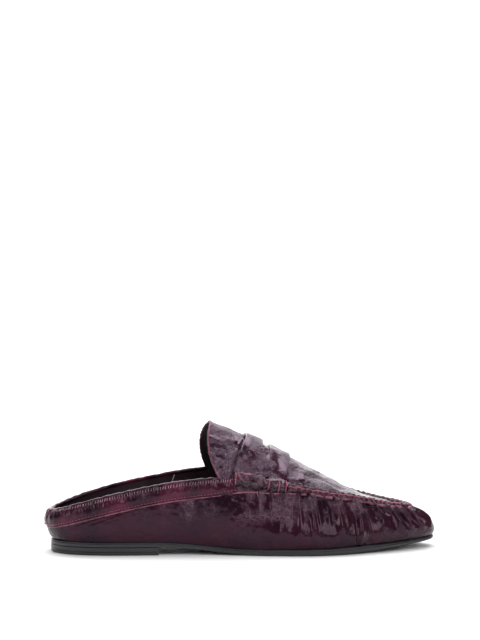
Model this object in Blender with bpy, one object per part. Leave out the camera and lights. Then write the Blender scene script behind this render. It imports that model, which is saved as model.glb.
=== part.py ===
"""Loafer mule, right shoe, with a low gathered collar, a penny strap and a raised apron seam.

Metres, +Z up, +X towards the toe, +Y towards the inner side of the foot.
The origin lies on the floor, under the middle of the heel's rest face.

The upper is a family of ribs. Each side rib climbs from the foot edge, on the sole, to the top
edge, which is the collar's topline at the back and the apron seam at the front. Each apron rib
goes on from the seam to the crest, the ridge line along the instep. Every overlay is lifted from
the same ribs, so it follows the upper at a constant gap.
"""
import math
from collections import namedtuple

import bmesh
import bpy
import numpy as np

# Driving sizes
LENGTH = 0.262            # back of the heel to the tip of the toe
BALL_WIDTH = 0.077        # foot edge to foot edge at the ball
HEEL_WIDTH = 0.0545       # foot edge to foot edge at the heel
COLLAR_HEIGHT = 0.0468    # side wall at the front end of the collar, above the foot edge
INSTEP_RISE = 0.0355      # top of the tongue above the front end of the collar
INNER_LIFT = 0.0005       # how much higher the inner side's top edge runs
CREST_SWING = 0.0085      # how far the toe end of the apron turns to the inner side
HEEL_HEIGHT = 0.0054      # floor to the underside of the outsole at the heel
TOE_SPRING = 0.0054       # floor to the underside of the outsole at the toe
OUTSOLE_GAUGE = 0.0042    # thickness of the outsole at the ball, before its gauge table
SOLE_LEDGE = 0.0004       # how far the outsole stands out from the foot edge
SOLE_ROUND = 0.0010       # rounding of the outsole's and heel's lower edges
ROUND_TURN = 0.3          # share of the rounding at which its middle edge lies
INSOLE_GAUGE = 0.0022     # thickness of the insole
WALL = 0.0018             # leather and lining together
CLEARANCE = 0.0003        # gap between touching pieces
FIT_CLEARANCE = 0.0006    # gap round the insole, inside the wall
BAND_HEIGHT = 0.0110      # collar binding, measured down the wall
BAND_GAUGE = 0.0012
SEAM_HALF = 0.0026        # half the width of the raised apron seam
SEAM_PROUD = 0.0017       # how far the apron seam stands out
ROLL_HALF = 0.0046        # half the height of the roll at a strap end
ROLL_PROUD = 0.0040       # how far a roll stands out
STRAP_GAUGE = 0.0014
SLOT_WIDTH = 0.0047       # the strap's slot, along the foot
SLOT_HALF = 0.0120        # the strap's slot, from the crest to each end

# Places along the foot, as shares of LENGTH from the back of the heel
REST_PLACE = 0.145        # middle of the heel's rest face, where the origin lies
BREAST_PLACE = 0.286      # front face of the heel block
ARCH_START = 0.275        # the underside leaves the heel's level here
ARCH_END = 0.561          # and is down on the tread here
SPRING_START = 0.641      # the toe spring begins
SOLE_TIP = 0.998         # tip of the sole
SPRING_CURVE = 1.9        # power of the toe spring's curve

# Sections of the side wall, from the heel's back to the toe's tip.
# foot_x and top_x are shares of LENGTH; foot_outer, foot_inner and top_half are shares of the
# local half width; top_height, belly and shoulder are shares of COLLAR_HEIGHT; drop is a share
# of the rib's own height. Belly and shoulder are how far the rib's two handles stand out.
Section = namedtuple(
    "Section", "foot_x foot_outer foot_inner top_x top_half top_height belly shoulder drop")
SECTIONS = (
    Section(0.018, 0.000, 0.000, 0.015, 0.000, 0.400, 0.085, 0.075, 0.33),   # back of the heel
    Section(0.047, -0.565, 0.565, 0.037, 0.530, 0.432, 0.088, 0.075, 0.33),
    Section(0.103, -0.866, 0.859, 0.088, 0.840, 0.524, 0.085, 0.065, 0.33),
    Section(0.198, -0.995, 0.965, 0.191, 1.010, 0.677, 0.080, 0.055, 0.33),  # side of the heel
    Section(0.321, -0.954, 0.855, 0.317, 0.990, 0.823, 0.070, 0.040, 0.33),  # waist
    Section(0.412, -0.884, 0.667, 0.402, 0.905, 0.927, 0.075, 0.050, 0.32),  # arch
    Section(0.478, -0.885, 0.630, 0.464, 0.838, 0.966, 0.090, 0.080, 0.30),  # end of the collar
    Section(0.561, -0.926, 0.722, 0.549, 0.772, 0.895, 0.130, 0.130, 0.28),
    Section(0.649, -0.982, 0.919, 0.641, 0.760, 0.805, 0.165, 0.180, 0.26),  # outer ball
    Section(0.733, -0.929, 1.015, 0.721, 0.700, 0.710, 0.175, 0.195, 0.24),  # inner ball
    Section(0.815, -0.725, 0.975, 0.790, 0.595, 0.622, 0.175, 0.195, 0.20),
    Section(0.889, -0.475, 0.850, 0.851, 0.466, 0.527, 0.175, 0.190, 0.16),
    Section(0.955, -0.185, 0.655, 0.903, 0.290, 0.454, 0.165, 0.195, 0.12),
    Section(0.987, 0.020, 0.480, 0.925, 0.160, 0.420, 0.155, 0.200, 0.11),
    Section(0.998, 0.250, 0.250, 0.933, 0.000, 0.408, 0.150, 0.200, 0.10),   # tip of the toe
)
HANDLE_LIFT = 0.27        # height of a rib's lower handle, as a share of the rib's height

# Crest of the apron: top_x is the seam end of the apron rib, crest_x its end on the crest, both
# shares of LENGTH; rise is a share of INSTEP_RISE; bow pulls the rib's lower handle back, as a
# share of INSTEP_RISE, to curve the free edge of the tongue.
Crest = namedtuple("Crest", "top_x crest_x rise bow")
CRESTS = (
    Crest(0.430, 0.4235, 1.000, 0.33),   # free edge of the tongue
    Crest(0.460, 0.5120, 0.722, 0.00),   # back edge of the strap
    Crest(0.530, 0.5632, 0.622, 0.00),   # slot
    Crest(0.598, 0.6222, 0.493, 0.00),   # front edge of the strap
    Crest(0.660, 0.6680, 0.388, 0.00),
    Crest(0.721, 0.7180, 0.288, 0.00),
    Crest(0.790, 0.7750, 0.142, 0.00),
    Crest(0.851, 0.8270, 0.068, 0.00),
    Crest(0.903, 0.8680, 0.048, 0.00),
    Crest(0.933, 0.8880, 0.062, 0.00),   # toe end of the apron
)
TONGUE_ROW, STRAP_BACK_ROW, SLOT_ROW, STRAP_FRONT_ROW = 0, 1, 2, 3
ROLL_START_ROW = 1.06     # the roll begins just in front of the collar's end
SEAM_START_ROW = 3.08     # and the raised seam just in front of the roll

# Thickness of the outsole, as shares of OUTSOLE_GAUGE, at shares of LENGTH
Gauge = namedtuple("Gauge", "place share")
OUTSOLE_GAUGES = (
    Gauge(0.00, 0.84), Gauge(0.30, 0.80), Gauge(0.42, 0.84),
    Gauge(0.62, 1.08), Gauge(0.78, 1.06), Gauge(0.90, 0.80), Gauge(1.00, 0.56),
)

# Thickness of a roll along its length, as shares of ROLL_PROUD: a long knot, a pinch and a
# shorter wrapped part
Swell = namedtuple("Swell", "place share")
ROLL_SWELLS = (
    Swell(0.00, 0.75), Swell(0.08, 1.00), Swell(0.50, 1.00), Swell(0.64, 0.78),
    Swell(0.76, 1.00), Swell(0.92, 1.00), Swell(1.00, 0.75),
)
ROLL_SHOULDER = 0.82      # share of a roll's thickness beside its top
ROLL_EDGE = 0.25          # and at its two long edges
BAND_EDGE = 0.70          # share of the binding's thickness at its two long edges
SEAM_EDGE = 0.55          # share of the raised seam's thickness at its two long edges

CROSS_SKEW = 0.09         # how far the inner end of a cross rib lies behind its outer end

# How finely the ribs are cut
STEPS_PER_SECTION = 3
TONGUE_STEPS = 4
FRONT_STEPS = 3           # steps for each row of the crest table, in front of the strap
LOWER_WALL_STEPS = 5
APRON_SIDE_STEPS = 4
APRON_TOP_STEPS = 3
RIB_SAMPLES = 49
HEEL_STEPS = 14
PLACE_STEP = 0.0005       # step along the foot edge for finding its direction

# Finishes: base colour, metallic, roughness
Finish = namedtuple("Finish", "colour metallic roughness")
WINE_PATENT = Finish((0.040, 0.007, 0.016, 1.0), 0.0, 0.18)
WINE_BINDING = Finish((0.060, 0.010, 0.022, 1.0), 0.0, 0.24)
WINE_SEAM = Finish((0.110, 0.015, 0.035, 1.0), 0.0, 0.35)
BLACK_SOLE = Finish((0.020, 0.020, 0.022, 1.0), 0.0, 0.55)
BLACK_LINING = Finish((0.012, 0.011, 0.013, 1.0), 0.0, 0.60)


def clear_scene():
    """Remove every object that the file starts with."""
    for item in list(bpy.data.objects):
        bpy.data.objects.remove(item, do_unlink=True)


def smooth_step(low, high, value):
    """Return 0 below low, 1 above high and an S curve between them."""
    share = np.clip((np.asarray(value, float) - low) / (high - low), 0.0, 1.0)
    return share * share * (3.0 - 2.0 * share)


def closed_spline(knots, values):
    """Return a function that runs smoothly through closed rows of values.

    knots has one entry more than values: the last one is where the curve closes.
    """
    knots = np.asarray(knots, float)
    values = np.asarray(values, float)
    count = len(values)
    gaps = np.diff(knots)
    slopes = (np.roll(values, -1, axis=0) - values) / gaps[:, None]
    system = np.zeros((count, count))
    for row in range(count):
        before = (row - 1) % count
        system[row, before] += gaps[before]
        system[row, row] += 2.0 * (gaps[before] + gaps[row])
        system[row, (row + 1) % count] += gaps[row]
    bends = np.linalg.solve(system, 6.0 * (slopes - np.roll(slopes, 1, axis=0)))

    def curve(places):
        places = np.mod(np.atleast_1d(places) - knots[0], knots[-1] - knots[0]) + knots[0]
        row = np.clip(np.searchsorted(knots, places, side="right") - 1, 0, count - 1)
        ahead = (row + 1) % count
        gap = gaps[row][:, None]
        right = (places - knots[row])[:, None]
        left = gap - right
        return (bends[row] * left ** 3 + bends[ahead] * right ** 3) / (6.0 * gap) \
            + (values[row] / gap - bends[row] * gap / 6.0) * left \
            + (values[ahead] / gap - bends[ahead] * gap / 6.0) * right

    return curve


def even_curve(knots, values, places):
    """Read rows of values at places along knots, smoothly and without overshoot."""
    knots = np.asarray(knots, float)
    values = np.asarray(values, float).reshape(len(knots), -1)
    gaps = np.diff(knots)[:, None]
    slopes = np.diff(values, axis=0) / gaps
    tangents = np.zeros_like(values)
    same_way = slopes[1:] * slopes[:-1] > 0.0
    total = slopes[1:] + slopes[:-1]
    safe = np.where(same_way, total, 1.0)
    tangents[1:-1] = np.where(same_way, 2.0 * slopes[1:] * slopes[:-1] / safe, 0.0)
    tangents[0], tangents[-1] = slopes[0], slopes[-1]
    places = np.atleast_1d(places)
    row = np.clip(np.searchsorted(knots, places, side="right") - 1, 0, len(gaps) - 1)
    gap = gaps[row]
    share = (places - knots[row])[:, None] / gap
    rest = 1.0 - share
    return values[row] * rest ** 2 * (1.0 + 2.0 * share) \
        + values[row + 1] * share ** 2 * (1.0 + 2.0 * rest) \
        + tangents[row] * gap * share * rest ** 2 \
        - tangents[row + 1] * gap * share ** 2 * rest


def half_width(place):
    """Half width that the sections' shares refer to, from heel to ball."""
    return 0.5 * (HEEL_WIDTH + (BALL_WIDTH - HEEL_WIDTH) * smooth_step(0.25, 0.60, place))


def underside(x):
    """Height of the outsole's underside: heel level, arch, flat tread and toe spring."""
    place = (np.asarray(x, float) / LENGTH) + REST_PLACE
    arch = 1.0 - smooth_step(ARCH_START, ARCH_END, place)
    spring = np.clip((place - SPRING_START) / (SOLE_TIP - SPRING_START), 0.0, None)
    return HEEL_HEIGHT * arch + TOE_SPRING * spring ** SPRING_CURVE


def sole_top(x):
    """Height of the outsole's upper face."""
    place = np.clip((np.asarray(x, float) / LENGTH) + REST_PLACE, 0.0, 1.0)
    shares = even_curve([g.place for g in OUTSOLE_GAUGES],
                        [g.share for g in OUTSOLE_GAUGES], np.ravel(place))
    return underside(x) + OUTSOLE_GAUGE * shares.reshape(np.shape(x))


def foot_level(x):
    """Height of the upper's foot edge, just clear of the outsole."""
    return sole_top(x) + CLEARANCE


def crest_side(x):
    """Sideways place of the apron's middle line, which turns inwards towards the toe."""
    place = (np.asarray(x, float) / LENGTH) + REST_PLACE
    turn = np.clip((place - CRESTS[0].crest_x) / (CRESTS[-1].top_x - CRESTS[0].crest_x), 0.0, None)
    return CREST_SWING * turn ** 1.15


def section_loops():
    """Spline through the sections, once round the shoe: outer side, toe, inner side, heel.

    Each row holds foot x, foot y, top x, top y, top height, belly, shoulder and drop.
    """
    rows = []
    for side, order in ((-1, SECTIONS), (1, SECTIONS[-2:0:-1])):
        for item in order:
            half = float(half_width(item.foot_x))
            foot_x = (item.foot_x - REST_PLACE) * LENGTH
            foot_y = half * (item.foot_outer if side < 0 else item.foot_inner)
            top_x = (item.top_x - REST_PLACE) * LENGTH
            skew = CROSS_SKEW * float(smooth_step(0.30, 0.43, item.top_x))
            reach = half * item.top_half
            top_y = float(crest_side(top_x)) + side * reach
            lift = INNER_LIFT * math.sin(math.pi * item.top_x) if side > 0 else 0.0
            top_z = float(foot_level(foot_x)) + COLLAR_HEIGHT * item.top_height + lift
            rows.append((foot_x, foot_y, top_x - side * reach * skew, top_y, top_z,
                         COLLAR_HEIGHT * item.belly, COLLAR_HEIGHT * item.shoulder, item.drop))
    rows = np.array(rows)
    last = len(SECTIONS) - 1
    steps = np.hypot(*(np.roll(rows, -1, axis=0) - rows)[:, :2].T)
    steps = 0.5 * (steps + steps[::-1])
    knots = np.concatenate([[0.0], np.cumsum(steps)])
    return closed_spline(knots, rows), knots, last


class Ribs:
    """The upper's grid: one row of points for each rib, from the foot edge to the crest."""

    def __init__(self):
        self.curve, self.knots, self.last = section_loops()
        self.period = self.knots[-1]
        self.collar_end = self.place_of_top(CRESTS[TONGUE_ROW].top_x)
        self.crest_rows = self.crest_stations()
        self.half_places = self.rib_places()
        self.build_walls()
        self.build_apron()

    def place_of_top(self, top_share):
        """Place on the loop's outer half where the top edge reaches a share of the length."""
        half = np.linspace(0.0, self.knots[self.last], 2000)
        both = 0.5 * (self.curve(half)[:, 2] + self.curve(self.period - half)[:, 2])
        return float(np.interp((top_share - REST_PLACE) * LENGTH, both, half))

    def outward(self, places, column):
        """Outward directions in plan of the foot edge (column 0) or the top edge (column 2)."""
        along = self.curve(places + PLACE_STEP) - self.curve(places - PLACE_STEP)
        out = np.stack([along[:, column + 1], -along[:, column], np.zeros(len(along))], axis=1)
        return out / np.linalg.norm(out, axis=1, keepdims=True)

    def crest_table(self, rows):
        """Read the crest table at fractional row numbers."""
        index = np.arange(len(CRESTS), dtype=float)
        return even_curve(index, np.array(CRESTS), rows)

    def crest_stations(self):
        """Fractional crest rows of the apron's ribs, with one at each edge of the slot."""
        dense = np.linspace(STRAP_BACK_ROW, STRAP_FRONT_ROW, 400)
        crest_x = self.crest_table(dense)[:, 1]
        middle = CRESTS[SLOT_ROW].crest_x
        self.slot_rows = np.interp(
            [middle - 0.5 * SLOT_WIDTH / LENGTH, middle + 0.5 * SLOT_WIDTH / LENGTH], crest_x, dense)
        tongue = np.linspace(TONGUE_ROW, STRAP_BACK_ROW, TONGUE_STEPS + 1)[:-1]
        back = np.linspace(ROLL_START_ROW, self.slot_rows[0], 4)[:-1]
        front = np.linspace(self.slot_rows[1], STRAP_FRONT_ROW, 4)
        toe_rows = len(CRESTS) - 1 - STRAP_FRONT_ROW
        toe = np.linspace(SEAM_START_ROW, len(CRESTS) - 1, toe_rows * FRONT_STEPS + 1)
        return np.concatenate([tongue, [STRAP_BACK_ROW], back, [self.slot_rows[0]], front, toe])

    def rib_places(self):
        """Places of the ribs on the outer half, from the heel's back to the toe's tip."""
        back_rows = [place for place in self.knots[:self.last + 1] if place < self.collar_end - 0.006]
        back = []
        for low, high in zip(back_rows, back_rows[1:] + [self.collar_end]):
            back.extend(np.linspace(low, high, STEPS_PER_SECTION + 1)[:-1])
        self.collar_index = len(back)
        front = [self.place_of_top(top) for top in self.crest_table(self.crest_rows)[:, 0]]
        front[-1] = self.knots[self.last]
        return np.array(back + front)

    def build_walls(self):
        """Side ribs as cubic arcs from the foot edge to the top edge, all the way round."""
        places = np.concatenate([self.half_places, self.period - self.half_places[-2:0:-1]])
        self.places = places
        self.count = len(places)
        self.half_count = len(self.half_places)
        rows = self.curve(places)
        foot_out, top_out = self.outward(places, 0), self.outward(places, 2)
        foot = np.stack([rows[:, 0], rows[:, 1], foot_level(rows[:, 0])], axis=1)
        top = rows[:, 2:5]
        height = (top - foot)[:, 2:3] * [0.0, 0.0, 1.0]
        low_handle = foot + foot_out * rows[:, 5:6] + HANDLE_LIFT * height
        high_handle = top + top_out * rows[:, 6:7] - rows[:, 7:8] * height
        self.foot, self.top = foot, top
        self.walls = np.stack([
            self.cut_rib(rib, self.wall_stops) for rib in zip(foot, low_handle, high_handle, top)])

    def build_apron(self):
        """Apron ribs as cubic arcs from the seam to the crest, on the outer then inner side."""
        table = self.crest_table(self.crest_rows)
        crest_x = (table[:, 1] - REST_PLACE) * LENGTH
        rib = np.arange(len(table)) + self.collar_index
        outer, inner = self.top[rib], self.top[(self.count - rib) % self.count]
        crest_z = 0.5 * (outer[:, 2] + inner[:, 2]) + table[:, 2] * INSTEP_RISE
        crest = np.stack([crest_x, crest_side(crest_x), crest_z], axis=1)
        over = (inner - outer) * [1.0, 1.0, 0.0]
        self.apron_rib = rib
        self.apron = []
        for seam, way in ((outer, -1.0), (inner, 1.0)):
            across = (crest - seam) * [1.0, 1.0, 0.0]
            rise = (crest - seam) * [0.0, 0.0, 1.0]
            low_handle = seam + across / 3.0 + rise * 2.0 / 3.0
            high_handle = crest + way * over / 6.0
            low_handle[:, 0] -= table[:, 3] * INSTEP_RISE
            self.apron.append(np.stack([
                self.cut_rib(arc, self.apron_stops)
                for arc in zip(seam, low_handle, high_handle, crest)]))

    @staticmethod
    def cut_rib(handles, stops):
        """Points of one cubic arc at the distances that stops gives for its length."""
        share = np.linspace(0.0, 1.0, RIB_SAMPLES)[:, None]
        rest = 1.0 - share
        start, low, high, end = handles
        arc = rest ** 3 * start + 3 * rest ** 2 * share * low \
            + 3 * rest * share ** 2 * high + share ** 3 * end
        run = np.concatenate([[0.0], np.cumsum(np.linalg.norm(np.diff(arc, axis=0), axis=1))])
        places = stops(run[-1])
        return np.stack([np.interp(places, run, arc[:, axis]) for axis in range(3)], axis=1)

    @staticmethod
    def wall_stops(length):
        """Distances up a side rib: even steps, then the lower edges of band, roll and seam."""
        lower = np.linspace(0.0, length - BAND_HEIGHT, LOWER_WALL_STEPS + 1)
        return np.concatenate([lower, [length - ROLL_HALF, length - SEAM_HALF, length]])

    @staticmethod
    def apron_stops(length):
        """Distances along an apron rib: edges of seam and roll, strap end, slot end, crest."""
        strap_end = ROLL_HALF + CLEARANCE
        room = (length - SEAM_HALF) / (1.3 * (strap_end + SLOT_HALF) - SEAM_HALF)
        fit = min(1.0, room)
        roll, strap = (SEAM_HALF + fit * (edge - SEAM_HALF) for edge in (ROLL_HALF, strap_end))
        slot = length - fit * SLOT_HALF
        side = np.linspace(strap, slot, APRON_SIDE_STEPS + 1)
        top = np.linspace(slot, length, APRON_TOP_STEPS + 1)[1:]
        return np.concatenate([[0.0, SEAM_HALF, roll], side, top])


# Columns of the wall and of the apron at which an overlay starts or ends
BAND_COLUMN = LOWER_WALL_STEPS
ROLL_COLUMN = LOWER_WALL_STEPS + 1
SEAM_COLUMN = LOWER_WALL_STEPS + 2
TOP_COLUMN = LOWER_WALL_STEPS + 3
APRON_ROLL_COLUMN = 2
STRAP_COLUMN = 3
SLOT_COLUMN = STRAP_COLUMN + APRON_SIDE_STEPS


class Skin:
    """The upper's outer face as one numbered surface, which every shell is lifted from."""

    def __init__(self, ribs):
        self.ribs = ribs
        self.points = []
        self.wall = self.number(ribs.walls)
        self.apron = [self.number(side) for side in ribs.apron]
        for side, sign in ((0, 1), (1, -1)):
            for row, rib in enumerate(ribs.apron_rib):
                self.apron[side][row, 0] = self.wall[(sign * rib) % ribs.count, TOP_COLUMN]
            self.apron[side][-1] = self.apron[0][-1]
            self.apron[side][:, -1] = self.apron[0][:, -1]
        self.points = np.array(self.points)
        self.faces = self.wall_faces(range(ribs.count), 0, TOP_COLUMN) \
            + self.apron_faces(0, len(ribs.crest_rows) - 1)
        self.normals = self.point_normals()

    def number(self, grid):
        """Add a grid's points and return their numbers in the same layout."""
        first = len(self.points)
        self.points.extend(grid.reshape(-1, 3))
        return np.arange(first, len(self.points)).reshape(grid.shape[:2])

    def wall_faces(self, ribs, low, high):
        """Faces of the side wall between two columns, for each rib and the next."""
        faces = []
        for rib in ribs:
            ahead = (rib + 1) % self.ribs.count
            for column in range(low, high):
                faces.append((self.wall[rib, column], self.wall[ahead, column],
                              self.wall[ahead, column + 1], self.wall[rib, column + 1]))
        return faces

    def apron_faces(self, first, last, low=0, high=None, skip=()):
        """Faces of both apron halves between two rib rows and two columns."""
        faces = []
        for side in (0, 1):
            grid = self.apron[side]
            stop = grid.shape[1] - 1 if high is None else high
            for row in range(first, last):
                for column in range(low, stop):
                    if (row, column) in skip:
                        continue
                    corners = [grid[row, column], grid[row + 1, column],
                               grid[row + 1, column + 1], grid[row, column + 1]]
                    corners = [c for n, c in enumerate(corners) if c != corners[n - 1]]
                    if len(corners) > 2:
                        faces.append(tuple(corners if side == 0 else corners[::-1]))
        return faces

    def point_normals(self):
        """Average outward direction of the faces round each point."""
        normals = np.zeros_like(self.points)
        for face in self.faces:
            corners = self.points[list(face)]
            across = corners[2] - corners[0]
            other = corners[-1] - corners[1] if len(face) == 4 else corners[2] - corners[1]
            flat = np.cross(across, other)
            for corner in face:
                normals[corner] += flat
        length = np.linalg.norm(normals, axis=1, keepdims=True)
        return normals / np.where(length > 0.0, length, 1.0)


def make_object(name, points, faces, finish, flat=False):
    """Make one closed mesh object with its own material."""
    mesh = bpy.data.meshes.new(name)
    mesh.from_pydata([tuple(point) for point in points], [], [tuple(face) for face in faces])
    mesh.update()
    work = bmesh.new()
    work.from_mesh(mesh)
    bmesh.ops.triangulate(work, faces=work.faces[:], quad_method="SHORT_EDGE")
    work.to_mesh(mesh)
    work.free()
    if not flat:
        mesh.shade_smooth()
        mesh.set_sharp_from_angle(angle=math.radians(40.0))
    material = bpy.data.materials.new(name)
    material.use_nodes = True
    shader = material.node_tree.nodes["Principled BSDF"]
    shader.inputs["Base Color"].default_value = finish.colour
    shader.inputs["Metallic"].default_value = finish.metallic
    shader.inputs["Roughness"].default_value = finish.roughness
    mesh.materials.append(material)
    made = bpy.data.objects.new(name, mesh)
    bpy.context.scene.collection.objects.link(made)
    return made


def shell(name, skin, faces, low, high, finish, level_rim=()):
    """Close a patch of the skin into a solid between two heights above it.

    low and high are one height, or a dictionary of heights for each point number. Points in
    level_rim keep their height above the floor on the low face, so that the rim lies flat.
    """
    used = sorted({corner for face in faces for corner in face})
    renumber = {corner: place for place, corner in enumerate(used)}
    total = len(used)

    def lifted(height):
        heights = np.array([height[c] if isinstance(height, dict) else height for c in used])
        return skin.points[used] + skin.normals[used] * heights[:, None]

    under, over = lifted(low), lifted(high)
    for corner in level_rim:
        under[renumber[corner], 2] = over[renumber[corner], 2]
    upper_faces = [tuple(renumber[c] for c in face) for face in faces]
    edges = {}
    for face in upper_faces:
        for start, end in zip(face, face[1:] + face[:1]):
            edges[(start, end)] = edges.get((start, end), 0) + 1
    solid = [face for face in upper_faces]
    solid += [tuple(c + total for c in reversed(face)) for face in upper_faces]
    solid += [(end, start, start + total, end + total)
              for start, end in edges if (end, start) not in edges]
    return make_object(name, np.vstack([over, under]), solid, finish)


def make_upper(skin):
    """The hollow shell of side wall, apron and tongue."""
    foot_rim = skin.wall[:, 0]
    return shell("upper", skin, skin.faces, -WALL, 0.0, WINE_PATENT, level_rim=foot_rim)


def make_collar_binding(skin):
    """The band on the outside of the topline, from the strap round the heel."""
    last = skin.ribs.apron_rib[strap_rows(skin)[0]]
    ribs = list(range(-last, last))
    faces = skin.wall_faces([rib % skin.ribs.count for rib in ribs], BAND_COLUMN, TOP_COLUMN)
    heights = {c: CLEARANCE + BAND_GAUGE for face in faces for c in face}
    for column in (BAND_COLUMN, TOP_COLUMN):
        for rib in range(-last, last + 1):
            heights[skin.wall[rib % skin.ribs.count, column]] = CLEARANCE + BAND_EDGE * BAND_GAUGE
    return shell("collar_binding", skin, faces, CLEARANCE, heights, WINE_BINDING)


def strap_rows(skin):
    """Rib rows of the strap's back edge, slot and front edge."""
    rows = skin.ribs.crest_rows
    wanted = (STRAP_BACK_ROW, skin.ribs.slot_rows[0], skin.ribs.slot_rows[1], STRAP_FRONT_ROW)
    return [int(np.argmin(np.abs(rows - row))) for row in wanted]


def make_penny_strap(skin):
    """The strap over the apron, with its slot across the crest."""
    back, slot_back, slot_front, front = strap_rows(skin)
    columns = skin.apron[0].shape[1] - 1
    slot = {(row, column) for row in range(slot_back, slot_front)
            for column in range(SLOT_COLUMN, columns)}
    faces = skin.apron_faces(back, front, low=STRAP_COLUMN, skip=slot)
    return shell("penny_strap", skin, faces, CLEARANCE, CLEARANCE + STRAP_GAUGE, WINE_PATENT)


def make_moc_seam(skin):
    """The raised seam along the apron's edge, from one roll round the toe to the other."""
    ribs = skin.ribs
    front_row = strap_rows(skin)[3] + 1
    first = ribs.apron_rib[front_row]
    last_row = len(ribs.crest_rows) - 1
    faces = skin.wall_faces(range(first, ribs.count - first), SEAM_COLUMN, TOP_COLUMN)
    faces += skin.apron_faces(front_row, last_row, low=0, high=1)
    ridge = set(skin.wall[:, TOP_COLUMN])
    heights = {c: CLEARANCE + SEAM_PROUD * (1.0 if c in ridge else SEAM_EDGE)
               for face in faces for c in face}
    return shell("moc_seam", skin, faces, CLEARANCE, heights, WINE_SEAM)


def make_side_roll(skin, side, name):
    """The wrapped roll over one end of the strap: a long knot behind a shorter roll."""
    ribs = skin.ribs
    first_row = int(np.argmin(np.abs(ribs.crest_rows - ROLL_START_ROW)))
    last_row = strap_rows(skin)[3]
    first, last = ribs.apron_rib[first_row], ribs.apron_rib[last_row]
    wall_ribs = range(first, last) if side == 0 else range(ribs.count - last, ribs.count - first)
    faces = skin.wall_faces(wall_ribs, ROLL_COLUMN, TOP_COLUMN)
    both = skin.apron_faces(first_row, last_row, low=0, high=APRON_ROLL_COLUMN)
    faces += both[:len(both) // 2] if side == 0 else both[len(both) // 2:]
    wall_profile = {ROLL_COLUMN: ROLL_EDGE, SEAM_COLUMN: ROLL_SHOULDER, TOP_COLUMN: 1.0}
    apron_profile = {1: ROLL_SHOULDER, APRON_ROLL_COLUMN: ROLL_EDGE}
    rows = np.arange(first_row, last_row + 1)
    swells = even_curve([s.place for s in ROLL_SWELLS], [s.share for s in ROLL_SWELLS],
                        (rows - first_row) / (last_row - first_row))
    heights = {}
    for row, swell in zip(rows, ROLL_PROUD * swells[:, 0]):
        rib = ribs.apron_rib[row] if side == 0 else (ribs.count - ribs.apron_rib[row])
        for column, share in wall_profile.items():
            heights[skin.wall[rib, column]] = CLEARANCE + share * swell
        for column, share in apron_profile.items():
            heights[skin.apron[side][row, column]] = CLEARANCE + share * swell
    return shell(name, skin, faces, CLEARANCE, heights, WINE_PATENT)


def foot_loop(ribs, inset, half_places, to_tip=True):
    """Foot edge moved inwards by inset, from the heel's back along the outer side and back."""
    last = -2 if to_tip else -1
    places = np.concatenate([half_places, ribs.period - half_places[last:0:-1]])
    loop = ribs.curve(places)[:, :3] * [1.0, 1.0, 0.0]
    return loop - ribs.outward(places, 0) * inset


def plate(name, loops, finish):
    """Close stacked loops, lowest first, with cross strips on the bottom and the top.

    Every loop starts at the heel's back, runs along the outer side and returns on the inner
    side, so point n and point -n face each other across the shoe.
    """
    count = len(loops[0])
    points = np.vstack(loops)
    faces = []
    for level in range(len(loops) - 1):
        for place in range(count):
            ahead = (place + 1) % count
            low, high = level * count, (level + 1) * count
            faces.append((low + place, low + ahead, high + ahead, high + place))
    top = (len(loops) - 1) * count
    for place in range(count // 2):
        ahead, mate, mate_ahead = place + 1, (count - place) % count, count - place - 1
        strip = [place, mate, mate_ahead, ahead]
        strip = [c for n, c in enumerate(strip) if c != strip[n - 1]]
        faces.append(tuple(strip))
        faces.append(tuple(top + c for c in reversed(strip)))
    return make_object(name, points, faces, finish)


def at_height(loop, height):
    """Lay a plan loop at a height, which may depend on x."""
    placed = loop.copy()
    placed[:, 2] = height(loop[:, 0]) if callable(height) else height
    return placed


def make_outsole(ribs):
    """The outsole: flat across, with arch, flat tread, toe spring and a rounded lower edge."""
    places = ribs.half_places
    edge = foot_loop(ribs, -SOLE_LEDGE, places)
    under = foot_loop(ribs, SOLE_ROUND - SOLE_LEDGE, places)
    rim = foot_loop(ribs, ROUND_TURN * SOLE_ROUND - SOLE_LEDGE, places)
    loops = [
        at_height(under, underside),
        at_height(rim, lambda x: underside(x) + ROUND_TURN * SOLE_ROUND),
        at_height(edge, lambda x: underside(x) + SOLE_ROUND),
        at_height(edge, lambda x: sole_top(x) - 0.5 * SOLE_LEDGE),
        at_height(foot_loop(ribs, -0.5 * SOLE_LEDGE, places), sole_top),
    ]
    return plate("outsole", loops, BLACK_SOLE)


def make_insole(skin):
    """The footbed: on the outsole, its edge a constant gap inside the upper's wall."""
    rim, above = (skin.points[skin.wall[:, column]] for column in (0, 1))
    rim_in, above_in = (skin.normals[skin.wall[:, column]] for column in (0, 1))
    gap = WALL + FIT_CLEARANCE
    low, high = rim - rim_in * gap, above - above_in * gap
    low[:, 2] = rim[:, 2]
    slope = (high - low)[:, :2] / (high - low)[:, 2:3]

    def inside(rise, inset):
        """Edge loop at a rise above the upper's foot edge, moved inwards by inset."""
        loop = low + np.column_stack([slope * rise, np.full(len(low), rise)])
        return loop - skin.ribs.outward(skin.ribs.places, 0) * inset

    bevel = 0.4 * INSOLE_GAUGE
    loops = [inside(0.0, 0.0), inside(INSOLE_GAUGE - bevel, 0.0), inside(INSOLE_GAUGE, bevel)]
    return plate("insole", loops, BLACK_LINING)


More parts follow.
